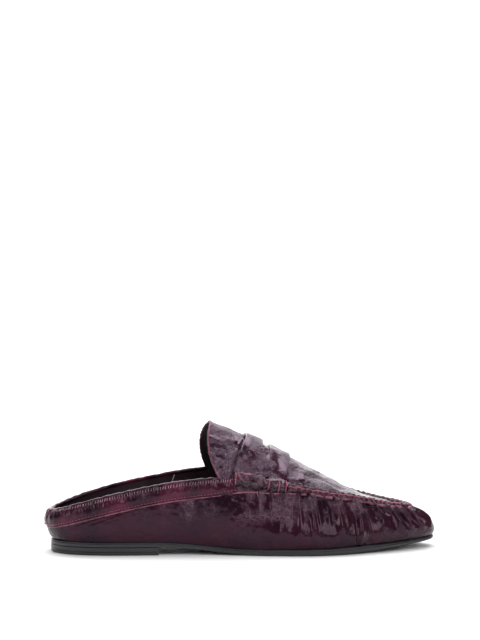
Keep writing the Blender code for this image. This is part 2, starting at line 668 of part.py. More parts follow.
def make_heel(ribs):
    """The heel block: the back of the sole's outline, cut off square at the breast."""
    breast_x = (BREAST_PLACE - REST_PLACE) * LENGTH
    half = np.linspace(0.0, ribs.knots[ribs.last], 1200)
    end = float(np.interp(breast_x, ribs.curve(half)[:, 0], half))
    places = np.linspace(0.0, end, HEEL_STEPS + 1)
    loops = []
    for rounding, height in (
            (1.0, 0.0), (ROUND_TURN, ROUND_TURN * SOLE_ROUND),
            (0.0, SOLE_ROUND), (0.0, HEEL_HEIGHT - CLEARANCE)):
        loop = foot_loop(ribs, rounding * SOLE_ROUND - SOLE_LEDGE, places, to_tip=False)
        loop[[HEEL_STEPS, HEEL_STEPS + 1], 0] = breast_x - rounding * SOLE_ROUND
        loops.append(at_height(loop, height))
    return plate("heel", loops, BLACK_SOLE)


def main():
    """Build every piece of the shoe."""
    clear_scene()
    ribs = Ribs()
    skin = Skin(ribs)
    make_upper(skin)
    make_outsole(ribs)
    make_heel(ribs)
    make_insole(skin)
    make_collar_binding(skin)
    make_penny_strap(skin)
    make_moc_seam(skin)
    make_side_roll(skin, 0, "side_roll_outer")
    make_side_roll(skin, 1, "side_roll_inner")


main()
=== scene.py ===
"""Right loafer mule in crinkled wine patent leather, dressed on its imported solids.

Metres, +X towards the toe, +Y towards the inner side of the foot, +Z up. The origin lies on the
floor under the middle of the heel. Every surface is lifted from one last, which is a family of
ribs: side ribs climb from the sole to the top edge, and apron ribs go on to the crest.
"""
import logging
import math
from dataclasses import dataclass
from enum import Enum
from typing import ClassVar, NamedTuple

import bmesh
import bpy
import numpy as np
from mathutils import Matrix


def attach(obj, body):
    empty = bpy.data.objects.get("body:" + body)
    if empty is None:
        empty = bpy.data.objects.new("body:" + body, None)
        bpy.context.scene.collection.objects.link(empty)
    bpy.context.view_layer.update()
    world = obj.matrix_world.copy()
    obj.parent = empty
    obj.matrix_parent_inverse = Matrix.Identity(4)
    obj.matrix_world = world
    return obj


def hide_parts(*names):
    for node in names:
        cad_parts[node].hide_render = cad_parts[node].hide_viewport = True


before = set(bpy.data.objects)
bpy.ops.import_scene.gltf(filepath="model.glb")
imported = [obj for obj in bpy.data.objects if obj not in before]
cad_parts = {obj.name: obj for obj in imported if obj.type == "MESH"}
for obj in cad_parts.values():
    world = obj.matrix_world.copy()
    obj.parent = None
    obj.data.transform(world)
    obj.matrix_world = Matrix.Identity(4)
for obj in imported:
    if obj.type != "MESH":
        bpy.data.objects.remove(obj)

LOG = logging.getLogger("loafer_mule")
Array = np.ndarray
Colour = tuple[float, float, float]
Point = tuple[float, float, float]
Span = tuple[float, float]
Material = bpy.types.Material
Socket = bpy.types.NodeSocket

# Slack for comparing places and rows, least length of a normal, and gap that a weld closes.
NEAR = 1e-9
TINY = 1e-12
WELD_GAP = 2e-6


class Side(Enum):
    """Side of the shoe: the outer one faces the camera."""

    OUTER = -1
    INNER = 1


class Section(NamedTuple):
    """One station of the side wall, in shares of the length, half width and collar height."""

    foot_x: float
    foot_outer: float
    foot_inner: float
    top_x: float
    top_half: float
    top_height: float
    belly: float
    shoulder: float
    drop: float


class Crest(NamedTuple):
    """One rib of the apron: its seam end, crest end, rise and the bow of the tongue's edge."""

    top_x: float
    crest_x: float
    rise: float
    bow: float


class Crease(NamedTuple):
    """A pleat that hangs from the top edge: place, lean, reach down, width, depth (- stands out)."""

    share: float
    lean: float
    reach: float
    width: float
    depth: float


class Fold(NamedTuple):
    """A straight crease on the side wall between two places: share along and share down."""

    share: float
    down: float
    end_share: float
    end_down: float
    width: float
    depth: float


class Pull(NamedTuple):
    """A hollow that runs forward from the strap: sideways place, lean, width and depth."""

    middle: float
    lean: float
    width: float
    depth: float


class Lamp(NamedTuple):
    """A soft box: its place, the point it faces, its two sides and its power."""

    name: str
    place: Point
    aim: Point
    size: Span
    power: float


def unit(vectors: Array) -> Array:
    """Vectors scaled to length 1 along the last axis."""
    return vectors / np.linalg.norm(vectors, axis=-1, keepdims=True)


def run_along(path: Array) -> Array:
    """Distance run along a path of points, 0 at its first."""
    return np.concatenate([[0.0], np.cumsum(np.linalg.norm(np.diff(path, axis=0), axis=1))])


def ring_turns(count: int) -> Array:
    """Angles spaced evenly round a ring, without the closing one."""
    return np.linspace(0.0, 2.0 * math.pi, count + 1)[:-1]


def bell(value: Array, width: float | Array) -> Array:
    """Bell curve: exp(-(value / width) squared)."""
    return np.exp(-(value / width) ** 2)


def quarter_round(distance: Array, radius: float) -> Array:
    """Height of a quarter circle that rises from 0 at the edge to 1 at its radius."""
    return np.sqrt(1.0 - (1.0 - np.clip(distance / radius, 0.0, 1.0)) ** 2)


def read_points(values: Array, knots: Array, places: Array) -> Array:
    """Rows of a table of points or directions, read in a straight line between its knots."""
    return np.stack([np.interp(places, knots, values[:, axis]) for axis in range(3)], axis=-1)


def smooth_step(low: float, high: float, value: Array | float) -> Array:
    """S curve of a value: 0 below low, 1 above high."""
    share = np.clip((np.asarray(value, float) - low) / (high - low), 0.0, 1.0)
    return share * share * (3.0 - 2.0 * share)


def even_curve(knots: Array, values: Array, places: Array) -> Array:
    """Smooth curve through rows of values without overshoot (cubic with limited tangents).

    Args:
        knots: Rising places of the rows.
        values: One row of numbers for each knot.
        places: Where to read the curve.

    Returns:
        One row for each place.
    """
    knots = np.asarray(knots, float)
    values = np.asarray(values, float).reshape(len(knots), -1)
    gaps = np.diff(knots)[:, None]
    slopes = np.diff(values, axis=0) / gaps
    tangents = np.zeros_like(values)
    same_way = slopes[1:] * slopes[:-1] > 0.0
    safe = np.where(same_way, slopes[1:] + slopes[:-1], 1.0)
    tangents[1:-1] = np.where(same_way, 2.0 * slopes[1:] * slopes[:-1] / safe, 0.0)
    tangents[0], tangents[-1] = slopes[0], slopes[-1]
    places = np.atleast_1d(np.asarray(places, float))
    row = np.clip(np.searchsorted(knots, places, side="right") - 1, 0, len(gaps) - 1)
    gap = gaps[row]
    share = (places - knots[row])[:, None] / gap
    rest = 1.0 - share
    return (values[row] * rest ** 2 * (1.0 + 2.0 * share)
            + values[row + 1] * share ** 2 * (1.0 + 2.0 * rest)
            + tangents[row] * gap * share * rest ** 2
            - tangents[row + 1] * gap * share ** 2 * rest)


def read_table(table: tuple[Span, ...], places: Array) -> Array:
    """Smooth curve through a table of places and values, one value for each place."""
    knots, values = np.array(table).T
    return even_curve(knots, values, places)[:, 0]


def even_steps(run: Array, pitch: float) -> Array:
    """Middles of equal steps near a pitch along a run."""
    count = int(run[-1] / pitch)
    return (np.arange(count) + 0.5) * run[-1] / count


class Wave(NamedTuple):
    """Soft random relief: its height, mean wave length, seed and number of sine waves."""

    height: float
    cell: float
    seed: int
    waves: int = 16

    def at(self, first: Array, second: Array | float = 0.0) -> Array:
        """Relief at two coordinates: a mean of sine waves that run in all directions.

        Args:
            first: One coordinate in metres.
            second: The other coordinate in metres.

        Returns:
            The relief at each place, about as high as the wave's height.
        """
        dice = np.random.default_rng(self.seed)
        total = np.zeros(np.broadcast(first, second).shape)
        for _ in range(self.waves):
            turn, phase = dice.uniform(0.0, 2.0 * math.pi, 2)
            pace = 2.0 * math.pi / (self.cell * dice.uniform(0.65, 1.6))
            total += np.sin((first * math.cos(turn) + second * math.sin(turn)) * pace + phase)
        return self.height * (total * math.sqrt(2.0 / self.waves))


@dataclass(frozen=True)
class Arcs:
    """Cubic arcs, one a row, that can be read at distances along them."""

    points: Array
    run: Array
    samples: ClassVar[int] = 97

    @classmethod
    def between(cls, start: Array, low: Array, high: Array, end: Array) -> "Arcs":
        """Sample the arcs: each point is a mean of the four handles, weighted by its share.

        Args:
            start: First points, one row for each arc.
            low: Handles that the arcs leave towards.
            high: Handles that they arrive from.
            end: Last points.

        Returns:
            The sampled arcs with the distance run along each.
        """
        share = np.linspace(0.0, 1.0, cls.samples)
        rest = 1.0 - share
        weights = np.stack([rest ** 3, 3 * rest ** 2 * share, 3 * rest * share ** 2, share ** 3])
        points = np.einsum("hnc,hk->nkc", np.stack([start, low, high, end]), weights)
        steps = np.linalg.norm(np.diff(points, axis=1), axis=2)
        run = np.concatenate([np.zeros((len(points), 1)), np.cumsum(steps, axis=1)], axis=1)
        return cls(points, run)

    @property
    def length(self) -> Array:
        """Length of each arc, as a column."""
        return self.run[:, -1:]

    def at(self, distance: Array) -> Array:
        """Points at distances along the arcs.

        Args:
            distance: One row of distances for each arc.

        Returns:
            Points, shaped rows by distances by 3.
        """
        distance = np.clip(distance, 0.0, self.length)
        row = (self.run[:, None, :] <= distance[:, :, None]).sum(axis=2) - 1
        row = np.clip(row, 0, self.samples - 2)
        arc = np.arange(len(self.run))[:, None]
        low, high = self.run[arc, row], self.run[arc, row + 1]
        share = ((distance - low) / (high - low))[:, :, None]
        return self.points[arc, row] * (1.0 - share) + self.points[arc, row + 1] * share


def surface_normals(grid: Array, ring: bool = False) -> Array:
    """Unit normals of a grid: the cross product of its two directions.

    Args:
        grid: Points, shaped along by up by 3.
        ring: Whether the last row meets the first.

    Returns:
        Normals in the same layout.
    """
    along = np.roll(grid, -1, 0) - np.roll(grid, 1, 0) if ring else np.gradient(grid, axis=0)
    flat = np.cross(along, np.gradient(grid, axis=1))
    return flat / np.maximum(np.linalg.norm(flat, axis=2, keepdims=True), TINY)


@dataclass(frozen=True)
class Last:
    """The shoe's last: side ribs and apron ribs, worked out from a few sizes and two tables."""

    length: float = 0.262
    ball_width: float = 0.077
    heel_width: float = 0.0545
    collar_height: float = 0.0468
    instep_rise: float = 0.0355
    inner_lift: float = 0.0005
    crest_swing: float = 0.0085
    cross_skew: float = 0.09
    heel_height: float = 0.0054
    toe_spring: float = 0.0054
    outsole_gauge: float = 0.0042
    wall: float = 0.0018
    lining_depth: float = 0.00125
    clearance: float = 0.0003
    rest_place: float = 0.145
    breast_place: float = 0.286
    arch_start: float = 0.275
    arch_end: float = 0.561
    spring_start: float = 0.641
    sole_tip: float = 0.998
    spring_curve: float = 1.9
    swing_curve: float = 1.15
    width_blend: Span = (0.25, 0.60)
    skew_blend: Span = (0.30, 0.43)
    handle_lift: float = 0.27
    sections: ClassVar[tuple[Section, ...]] = tuple(Section(*row) for row in (
        (0.018, 0.000, 0.000, 0.015, 0.000, 0.400, 0.085, 0.075, 0.33),
        (0.047, -0.565, 0.565, 0.037, 0.530, 0.432, 0.088, 0.075, 0.33),
        (0.103, -0.866, 0.859, 0.088, 0.840, 0.524, 0.085, 0.065, 0.33),
        (0.198, -0.995, 0.965, 0.191, 1.010, 0.677, 0.080, 0.055, 0.33),
        (0.321, -0.954, 0.855, 0.317, 0.990, 0.823, 0.070, 0.040, 0.33),
        (0.412, -0.884, 0.667, 0.402, 0.905, 0.927, 0.075, 0.050, 0.32),
        (0.478, -0.885, 0.630, 0.464, 0.838, 0.966, 0.090, 0.080, 0.30),
        (0.561, -0.926, 0.722, 0.549, 0.772, 0.895, 0.130, 0.130, 0.28),
        (0.649, -0.982, 0.919, 0.641, 0.760, 0.805, 0.165, 0.180, 0.26),
        (0.733, -0.929, 1.015, 0.721, 0.700, 0.710, 0.175, 0.195, 0.24),
        (0.815, -0.725, 0.975, 0.790, 0.595, 0.622, 0.175, 0.195, 0.20),
        (0.889, -0.475, 0.850, 0.851, 0.466, 0.527, 0.175, 0.190, 0.16),
        (0.955, -0.185, 0.655, 0.903, 0.290, 0.454, 0.165, 0.195, 0.12),
        (0.987, 0.020, 0.480, 0.925, 0.160, 0.420, 0.155, 0.200, 0.11),
        (0.998, 0.250, 0.250, 0.933, 0.000, 0.408, 0.150, 0.200, 0.10),
    ))
    crests: ClassVar[tuple[Crest, ...]] = tuple(Crest(*row) for row in (
        (0.430, 0.4235, 1.000, 0.33),
        (0.460, 0.5120, 0.722, 0.00),
        (0.530, 0.5632, 0.622, 0.00),
        (0.598, 0.6222, 0.493, 0.00),
        (0.660, 0.6680, 0.388, 0.00),
        (0.721, 0.7180, 0.288, 0.00),
        (0.790, 0.7750, 0.142, 0.00),
        (0.851, 0.8270, 0.068, 0.00),
        (0.903, 0.8680, 0.048, 0.00),
        (0.933, 0.8880, 0.062, 0.00),
    ))
    gauges: ClassVar[tuple[Span, ...]] = (
        (0.00, 0.84), (0.30, 0.80), (0.42, 0.84), (0.62, 1.08), (0.78, 1.06), (0.90, 0.80),
        (1.00, 0.56))

    @property
    def tip_row(self) -> int:
        """Number of the last row of the crest table, at the toe."""
        return len(self.crests) - 1

    def along(self, share: Array | float) -> Array | float:
        """Distance in x of a share of the length."""
        return (share - self.rest_place) * self.length

    def share_of(self, x: Array | float) -> Array:
        """Share of the length at a distance in x."""
        return np.asarray(x, float) / self.length + self.rest_place

    def underside(self, x: Array) -> Array:
        """Height of the outsole's underside: heel level, arch, flat tread and toe spring."""
        place = self.share_of(x)
        arch = 1.0 - smooth_step(self.arch_start, self.arch_end, place)
        run = (place - self.spring_start) / (self.sole_tip - self.spring_start)
        spring = np.clip(run, 0.0, None) ** self.spring_curve
        return self.heel_height * arch + self.toe_spring * spring

    def sole_top(self, x: Array) -> Array:
        """Height of the outsole's upper face: its underside and its gauge."""
        place = np.clip(self.share_of(x), 0.0, 1.0)
        gauge = read_table(self.gauges, np.ravel(place)).reshape(np.shape(x))
        return self.underside(x) + self.outsole_gauge * gauge

    def crest_side(self, x: Array) -> Array:
        """Sideways place of the apron's middle line, which turns inwards to the toe."""
        place = self.share_of(x)
        start, end = self.crests[0].crest_x, self.crests[-1].top_x
        share = np.clip((place - start) / (end - start), 0.0, None)
        return self.crest_swing * share ** self.swing_curve

    def loop_rows(self) -> tuple[Array, Array]:
        """Rows of foot x, foot y, top x, top y, top height, belly, shoulder, drop round the shoe.

        Returns:
            The rows, and their places along the foot edge with the closing place last.
        """
        rows = []
        for side, order in ((-1, self.sections), (1, self.sections[-2:0:-1])):
            for item in order:
                step = float(smooth_step(*self.width_blend, item.foot_x))
                half = 0.5 * (self.heel_width + (self.ball_width - self.heel_width) * step)
                foot_x = self.along(item.foot_x)
                foot_y = half * (item.foot_outer if side < 0 else item.foot_inner)
                top_x = self.along(item.top_x)
                skew = self.cross_skew * float(smooth_step(*self.skew_blend, item.top_x))
                reach = half * item.top_half
                lift = self.inner_lift * math.sin(math.pi * item.top_x) if side > 0 else 0.0
                top_z = (float(self.sole_top(foot_x)) + self.clearance
                         + self.collar_height * item.top_height + lift)
                rows.append((foot_x, foot_y, top_x - side * reach * skew,
                             float(self.crest_side(top_x)) + side * reach, top_z,
                             self.collar_height * item.belly, self.collar_height * item.shoulder,
                             item.drop))
        table = np.array(rows)
        steps = np.hypot(*(np.roll(table, -1, axis=0) - table)[:, :2].T)
        steps = 0.5 * (steps + steps[::-1])
        return table, np.concatenate([[0.0], np.cumsum(steps)])


class Form:
    """The last's two rib families, ready to be read anywhere."""

    half_samples: ClassVar[int] = 2000
    round_samples: ClassVar[int] = 4001
    plan_step: ClassVar[float] = 0.0005

    def __init__(self, last: Last) -> None:
        """Solve the closed curve through the last's rows.

        Args:
            last: Sizes and tables of the shoe.
        """
        self.last = last
        self.rows, self.knots = last.loop_rows()
        self.bends = self._bends()
        self.period = float(self.knots[-1])
        self.tip = float(self.knots[len(last.sections) - 1])
        self._half = np.linspace(0.0, self.tip, self.half_samples)
        both = 0.5 * (self.curve(self._half)[:, 2] + self.curve(self.period - self._half)[:, 2])
        self._shares = last.share_of(both)
        self._round = np.linspace(0.0, self.period, self.round_samples)
        self._run = run_along(self.curve(self._round)[:, 2:5])

    def _bends(self) -> Array:
        """Second derivatives of the closed cubic spline, from its ring of equations."""
        gaps = np.diff(self.knots)
        count = len(self.rows)
        slopes = (np.roll(self.rows, -1, axis=0) - self.rows) / gaps[:, None]
        row = np.arange(count)
        system = np.zeros((count, count))
        np.add.at(system, (row, (row - 1) % count), np.roll(gaps, 1))
        np.add.at(system, (row, row), 2.0 * (gaps + np.roll(gaps, 1)))
        np.add.at(system, (row, (row + 1) % count), gaps)
        return np.linalg.solve(system, 6.0 * (slopes - np.roll(slopes, 1, axis=0)))

    def curve(self, places: Array) -> Array:
        """Read the closed spline at places along the foot edge, one row for each place."""
        places = np.mod(np.atleast_1d(places), self.knots[-1])
        count = len(self.rows)
        row = np.clip(np.searchsorted(self.knots, places, side="right") - 1, 0, count - 1)
        ahead = (row + 1) % count
        gap = np.diff(self.knots)[row][:, None]
        right = (places - self.knots[row])[:, None]
        left = gap - right
        bends, rows = self.bends, self.rows
        return ((bends[row] * left ** 3 + bends[ahead] * right ** 3) / (6.0 * gap)
                + (rows[row] / gap - bends[row] * gap / 6.0) * left
                + (rows[ahead] / gap - bends[ahead] * gap / 6.0) * right)

    def outward(self, places: Array, column: int) -> Array:
        """Outward directions in plan of the foot edge (column 0) or the top edge (column 2)."""
        along = self.curve(places + self.plan_step) - self.curve(places - self.plan_step)
        return unit(np.stack([along[:, column + 1], -along[:, column], np.zeros(len(along))], axis=1))

    def place(self, share: Array | float, side: Side = Side.OUTER) -> Array:
        """Place on the loop where a side's top edge reaches a share of the length."""
        half = np.interp(share, self._shares, self._half)
        return half if side is Side.OUTER else self.period - half

    def share(self, places: Array) -> Array:
        """Share of the length at which the top edge lies, for places on either side."""
        places = np.mod(places, self.period)
        return np.interp(np.minimum(places, self.period - places), self._half, self._shares)

    def top_run(self, places: Array | float) -> Array:
        """Distance along the top edge from the heel's back, in metres."""
        return np.interp(np.mod(places, self.period), self._round, self._run)

    @property
    def girth(self) -> Array:
        """Length of the whole top edge: its run just before the place where it closes."""
        return self.top_run(self.period - NEAR)

    def ribs(self, places: Array) -> Arcs:
        """Side ribs: cubic arcs from the foot edge to the top edge, bellied and shouldered out."""
        rows = self.curve(places)
        height_foot = self.last.sole_top(rows[:, 0]) + self.last.clearance
        foot = np.stack([rows[:, 0], rows[:, 1], height_foot], axis=1)
        top = rows[:, 2:5]
        height = (top - foot)[:, 2:3] * [0.0, 0.0, 1.0]
        low = foot + self.outward(places, 0) * rows[:, 5:6] + self.last.handle_lift * height
        high = top + self.outward(places, 2) * rows[:, 6:7] - rows[:, 7:8] * height
        return Arcs.between(foot, low, high, top)

    def apron_ribs(self, rows: Array) -> tuple[Arcs, Arcs]:
        """Apron ribs from the seam to the crest, at fractional rows of the crest table.

        Args:
            rows: Row numbers of the crest table.

        Returns:
            The outer side's arcs and the inner side's arcs.
        """
        last = self.last
        table = even_curve(np.arange(len(last.crests)), np.array(last.crests), rows)
        crest_x = last.along(table[:, 1])
        half = self.place(table[:, 0])
        half = np.where(rows >= last.tip_row - NEAR, self.tip, half)
        outer, inner = self.curve(half)[:, 2:5], self.curve(self.period - half)[:, 2:5]
        crest_z = 0.5 * (outer[:, 2] + inner[:, 2]) + table[:, 2] * last.instep_rise
        crest = np.stack([crest_x, last.crest_side(crest_x), crest_z], axis=1)
        over = (inner - outer) * [1.0, 1.0, 0.0]
        arcs = []
        for seam, way in ((outer, -1.0), (inner, 1.0)):
            across = (crest - seam) * [1.0, 1.0, 0.0]
            rise = (crest - seam) * [0.0, 0.0, 1.0]
            low = seam + across / 3.0 + rise * 2.0 / 3.0
            low[:, 0] -= table[:, 3] * last.instep_rise
            arcs.append(Arcs.between(seam, low, crest + way * over / 6.0, crest))
        return arcs[0], arcs[1]


@dataclass
class Sheet:
    """A quad mesh in the making: points, faces of four point numbers, and their corners' UV."""

    points: Array
    faces: Array
    uv: Array

    @classmethod
    def from_grid(cls, points: Array, uv: Array, keep: Array | None = None,
                  merge: Array | None = None) -> "Sheet":
        """Join a grid of points with quads: point (i, j) to (i+1, j), (i+1, j+1) and (i, j+1).

        Args:
            points: Grid of points, along by up by 3.
            uv: Grid of UV pairs; one row more than points closes the grid into a ring.
            keep: Mask of the quads that stay, for a hole in the sheet.
            merge: Point number that stands for each point, where two rows are one.

        Returns:
            The sheet.
        """
        rows, columns = uv.shape[:2]
        number = np.arange(rows * columns).reshape(rows, columns)
        quads = np.stack([number[:-1, :-1], number[1:, :-1], number[1:, 1:], number[:-1, 1:]], -1)
        quads = quads.reshape(-1, 4)
        if keep is not None:
            quads = quads[keep.reshape(-1)]
        corners = uv.reshape(-1, 2)[quads]
        faces = quads % (points.shape[0] * columns)
        if merge is not None:
            faces = merge[faces]
        return cls(points.reshape(-1, 3), faces, corners)

    def thickened(self, under: Array) -> "Sheet":
        """Close the sheet into a solid with a second face and a strip along each free edge.

        Args:
            under: The second face's points, one for each point of the sheet.

        Returns:
            The closed sheet.
        """
        count = len(self.points)
        edges = np.stack([self.faces, np.roll(self.faces, -1, axis=1)], axis=-1).reshape(-1, 2)
        ends = np.stack([self.uv, np.roll(self.uv, -1, axis=1)], axis=2).reshape(-1, 2, 2)
        free = ~np.isin(edges[:, 0] * count + edges[:, 1], edges[:, 1] * count + edges[:, 0])
        rim, rim_uv = edges[free], ends[free]
        strip = np.stack([rim[:, 1], rim[:, 0], rim[:, 0] + count, rim[:, 1] + count], axis=-1)
        strip_uv = rim_uv[:, [1, 0, 0, 1]]
        return Sheet(np.vstack([self.points, under.reshape(-1, 3)]),
                     np.vstack([self.faces, self.faces[:, ::-1] + count, strip]),
                     np.concatenate([self.uv, self.uv[:, ::-1], strip_uv]))

    def joined(self, other: "Sheet") -> "Sheet":
        """This sheet and another as one."""
        return Sheet(np.vstack([self.points, other.points]),
                     np.vstack([self.faces, other.faces + len(self.points)]),
                     np.concatenate([self.uv, other.uv]))

    @classmethod
    def rope(cls, path: Array, side: Array, out: Array, reach: Array, rise: Array) -> "Sheet":
        """Carry a closed outline along a path: point = path + side * reach + out * rise.

        Args:
            path: Points of the path.
            side: Sideways direction at each point.
            out: Outward direction at each point.
            reach: Sideways places of the outline, path points by outline points.
            rise: Outward places of the outline.

        Returns:
            A tube whose ends are drawn in to a point.
        """
        fade = np.ones(len(path))
        fade[0] = fade[-1] = 0.0
        spread = fade[:, None, None]
        points = path[:, None] + spread * (side[:, None] * reach[..., None]
                                           + out[:, None] * rise[..., None])
        turn = np.linspace(0.0, 1.0, reach.shape[1] + 1)
        return cls.from_grid(points.transpose(1, 0, 2), grid_uv(run_along(path), turn[:, None]))


def grid_uv(first: Array, second: Array) -> Array:
    """Grid of UV pairs from two arrays that broadcast to its shape."""
    return np.stack(np.broadcast_arrays(first, second), axis=-1).astype(float)


def lining_sheet(skin: Array, normals: Array, uv: Array, last: Last) -> Sheet:
    """Smooth closed lining sheet inside a skin."""
    face, back = skin - normals * last.lining_depth, skin - normals * last.wall
    return Sheet.from_grid(face, uv).thickened(back)


def new_object(name: str, data: bpy.types.ID) -> bpy.types.Object:
    """Put a mesh, lamp or camera into the scene as an object."""
    item = bpy.data.objects.new(name, data)
    bpy.context.scene.collection.objects.link(item)
    return item


def make_piece(name: str, sheet: Sheet, material: Material, node: str,
               weld: bool = False, crisp: float = 50.0) -> bpy.types.Object:
    """Turn a sheet into a finished piece that stands for a CAD node.

    Args:
        name: Name of the piece.
        sheet: Its mesh.
        material: Its finish.
        node: CAD node it replaces, which is hidden.
        weld: Whether points at one place are merged.
        crisp: Angle in degrees past which an edge stays sharp.

    Returns:
        The new object.
    """
    first, second, third, fourth = np.moveaxis(sheet.points[sheet.faces], 1, 0)
    volume = np.einsum("ij,ij->", first, np.cross(second, third) + np.cross(third, fourth))
    faces, uv = sheet.faces, sheet.uv
    if volume < 0.0:
        faces, uv = faces[:, ::-1], uv[:, ::-1]
    mesh = bpy.data.meshes.new(name)
    mesh.from_pydata(sheet.points.tolist(), [], faces.tolist())
    layer = mesh.uv_layers.new(name="surface")
    layer.data.foreach_set("uv", np.ascontiguousarray(uv, dtype=np.float32).reshape(-1))
    if weld:
        work = bmesh.new()
        work.from_mesh(mesh)
        bmesh.ops.remove_doubles(work, verts=work.verts[:], dist=WELD_GAP)
        work.to_mesh(mesh)
        work.free()
    mesh.shade_smooth()
    mesh.set_sharp_from_angle(angle=math.radians(crisp))
    mesh.materials.append(material)
    piece = new_object(name, mesh)
    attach(piece, "root")
    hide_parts(node)
    LOG.info("%s: %d faces", name, len(mesh.polygons))
    return piece


class Nodes:
    """Short hand for a node tree: adds nodes, sets values and links sockets."""

    def __init__(self, tree: bpy.types.NodeTree) -> None:
        """Work on the node tree of a material or a group."""
        self.tree = tree

    def add(self, kind: str, sockets: dict[str | int, object] | None = None,
            **settings: object) -> bpy.types.Node:
        """Add a node.

        Args:
            kind: Node type without its ShaderNode prefix, or a full type name.
            sockets: Values or output sockets for its inputs.
            settings: Properties of the node.

        Returns:
            The node.
        """
        full = kind if kind.startswith("NodeGroup") else "ShaderNode" + kind
        node = self.tree.nodes.new(full)
        for key, value in settings.items():
            setattr(node, key, value)
        for key, value in (sockets or {}).items():
            if isinstance(value, Socket):
                self.tree.links.new(value, node.inputs[key])
            else:
                node.inputs[key].default_value = value
        return node

    def maths(self, operation: str, *values: object) -> Socket:
        """Result of a Math node on numbers or sockets."""
        return self.add("Math", dict(enumerate(values)), operation=operation).outputs[0]

    def times(self, first: object, second: object) -> Socket:
        """Product of two numbers or sockets."""
        return self.maths("MULTIPLY", first, second)

    def plus(self, first: object, second: object) -> Socket:
        """Sum of two numbers or sockets."""
        return self.maths("ADD", first, second)

    def link(self, socket: Socket, node: bpy.types.Node, label: str) -> None:
        """Link an output socket to a node's input."""
        self.tree.links.new(socket, node.inputs[label])

    def span(self, value: object, low: float, high: float, start: float = 0.0,
             end: float = 1.0) -> Socket:
        """Value mapped smoothly from low..high to start..end."""
        return self.add("MapRange", {0: value, 1: low, 2: high, 3: start, 4: end},
                        interpolation_type="SMOOTHSTEP").outputs[0]

    def blend(self, share: object, first: object, second: object) -> Socket:
        """Colour mixed from first to second by share."""
        node = self.add("Mix", data_type="RGBA")
        for index, value in ((0, share), (6, first), (7, second)):
            if isinstance(value, Socket):
                self.tree.links.new(value, node.inputs[index])
            else:
                node.inputs[index].default_value = (*value, 1.0) if index else value
        return node.outputs[2]

    def noise(self, vector: object, scale: object, detail: float = 3.0, roughness: float = 0.55,
              output: str = "Fac") -> Socket:
        """Noise on a vector; output Color gives a colour."""
        return self.add("TexNoise", {"Vector": vector, "Scale": scale, "Detail": detail,
                                     "Roughness": roughness}).outputs[output]


def new_group(name: str, inputs: dict[str, float], outputs: tuple[str, ...]) -> Nodes:
    """Make a shader node group with named sockets, its Vector among them.

    Args:
        name: Name of the group.
        inputs: Default value for each number that goes in.
        outputs: Names of the numbers that come out.

    Returns:
        Short hand for the group's tree.
    """
    tree = bpy.data.node_groups.new(name, "ShaderNodeTree")
    tree.interface.new_socket(name="Vector", in_out="INPUT", socket_type="NodeSocketVector")
    for label, value in inputs.items():
        socket = tree.interface.new_socket(name=label, in_out="INPUT", socket_type="NodeSocketFloat")
        socket.default_value = value
    for label in outputs:
        tree.interface.new_socket(name=label, in_out="OUTPUT", socket_type="NodeSocketFloat")
    return Nodes(tree)


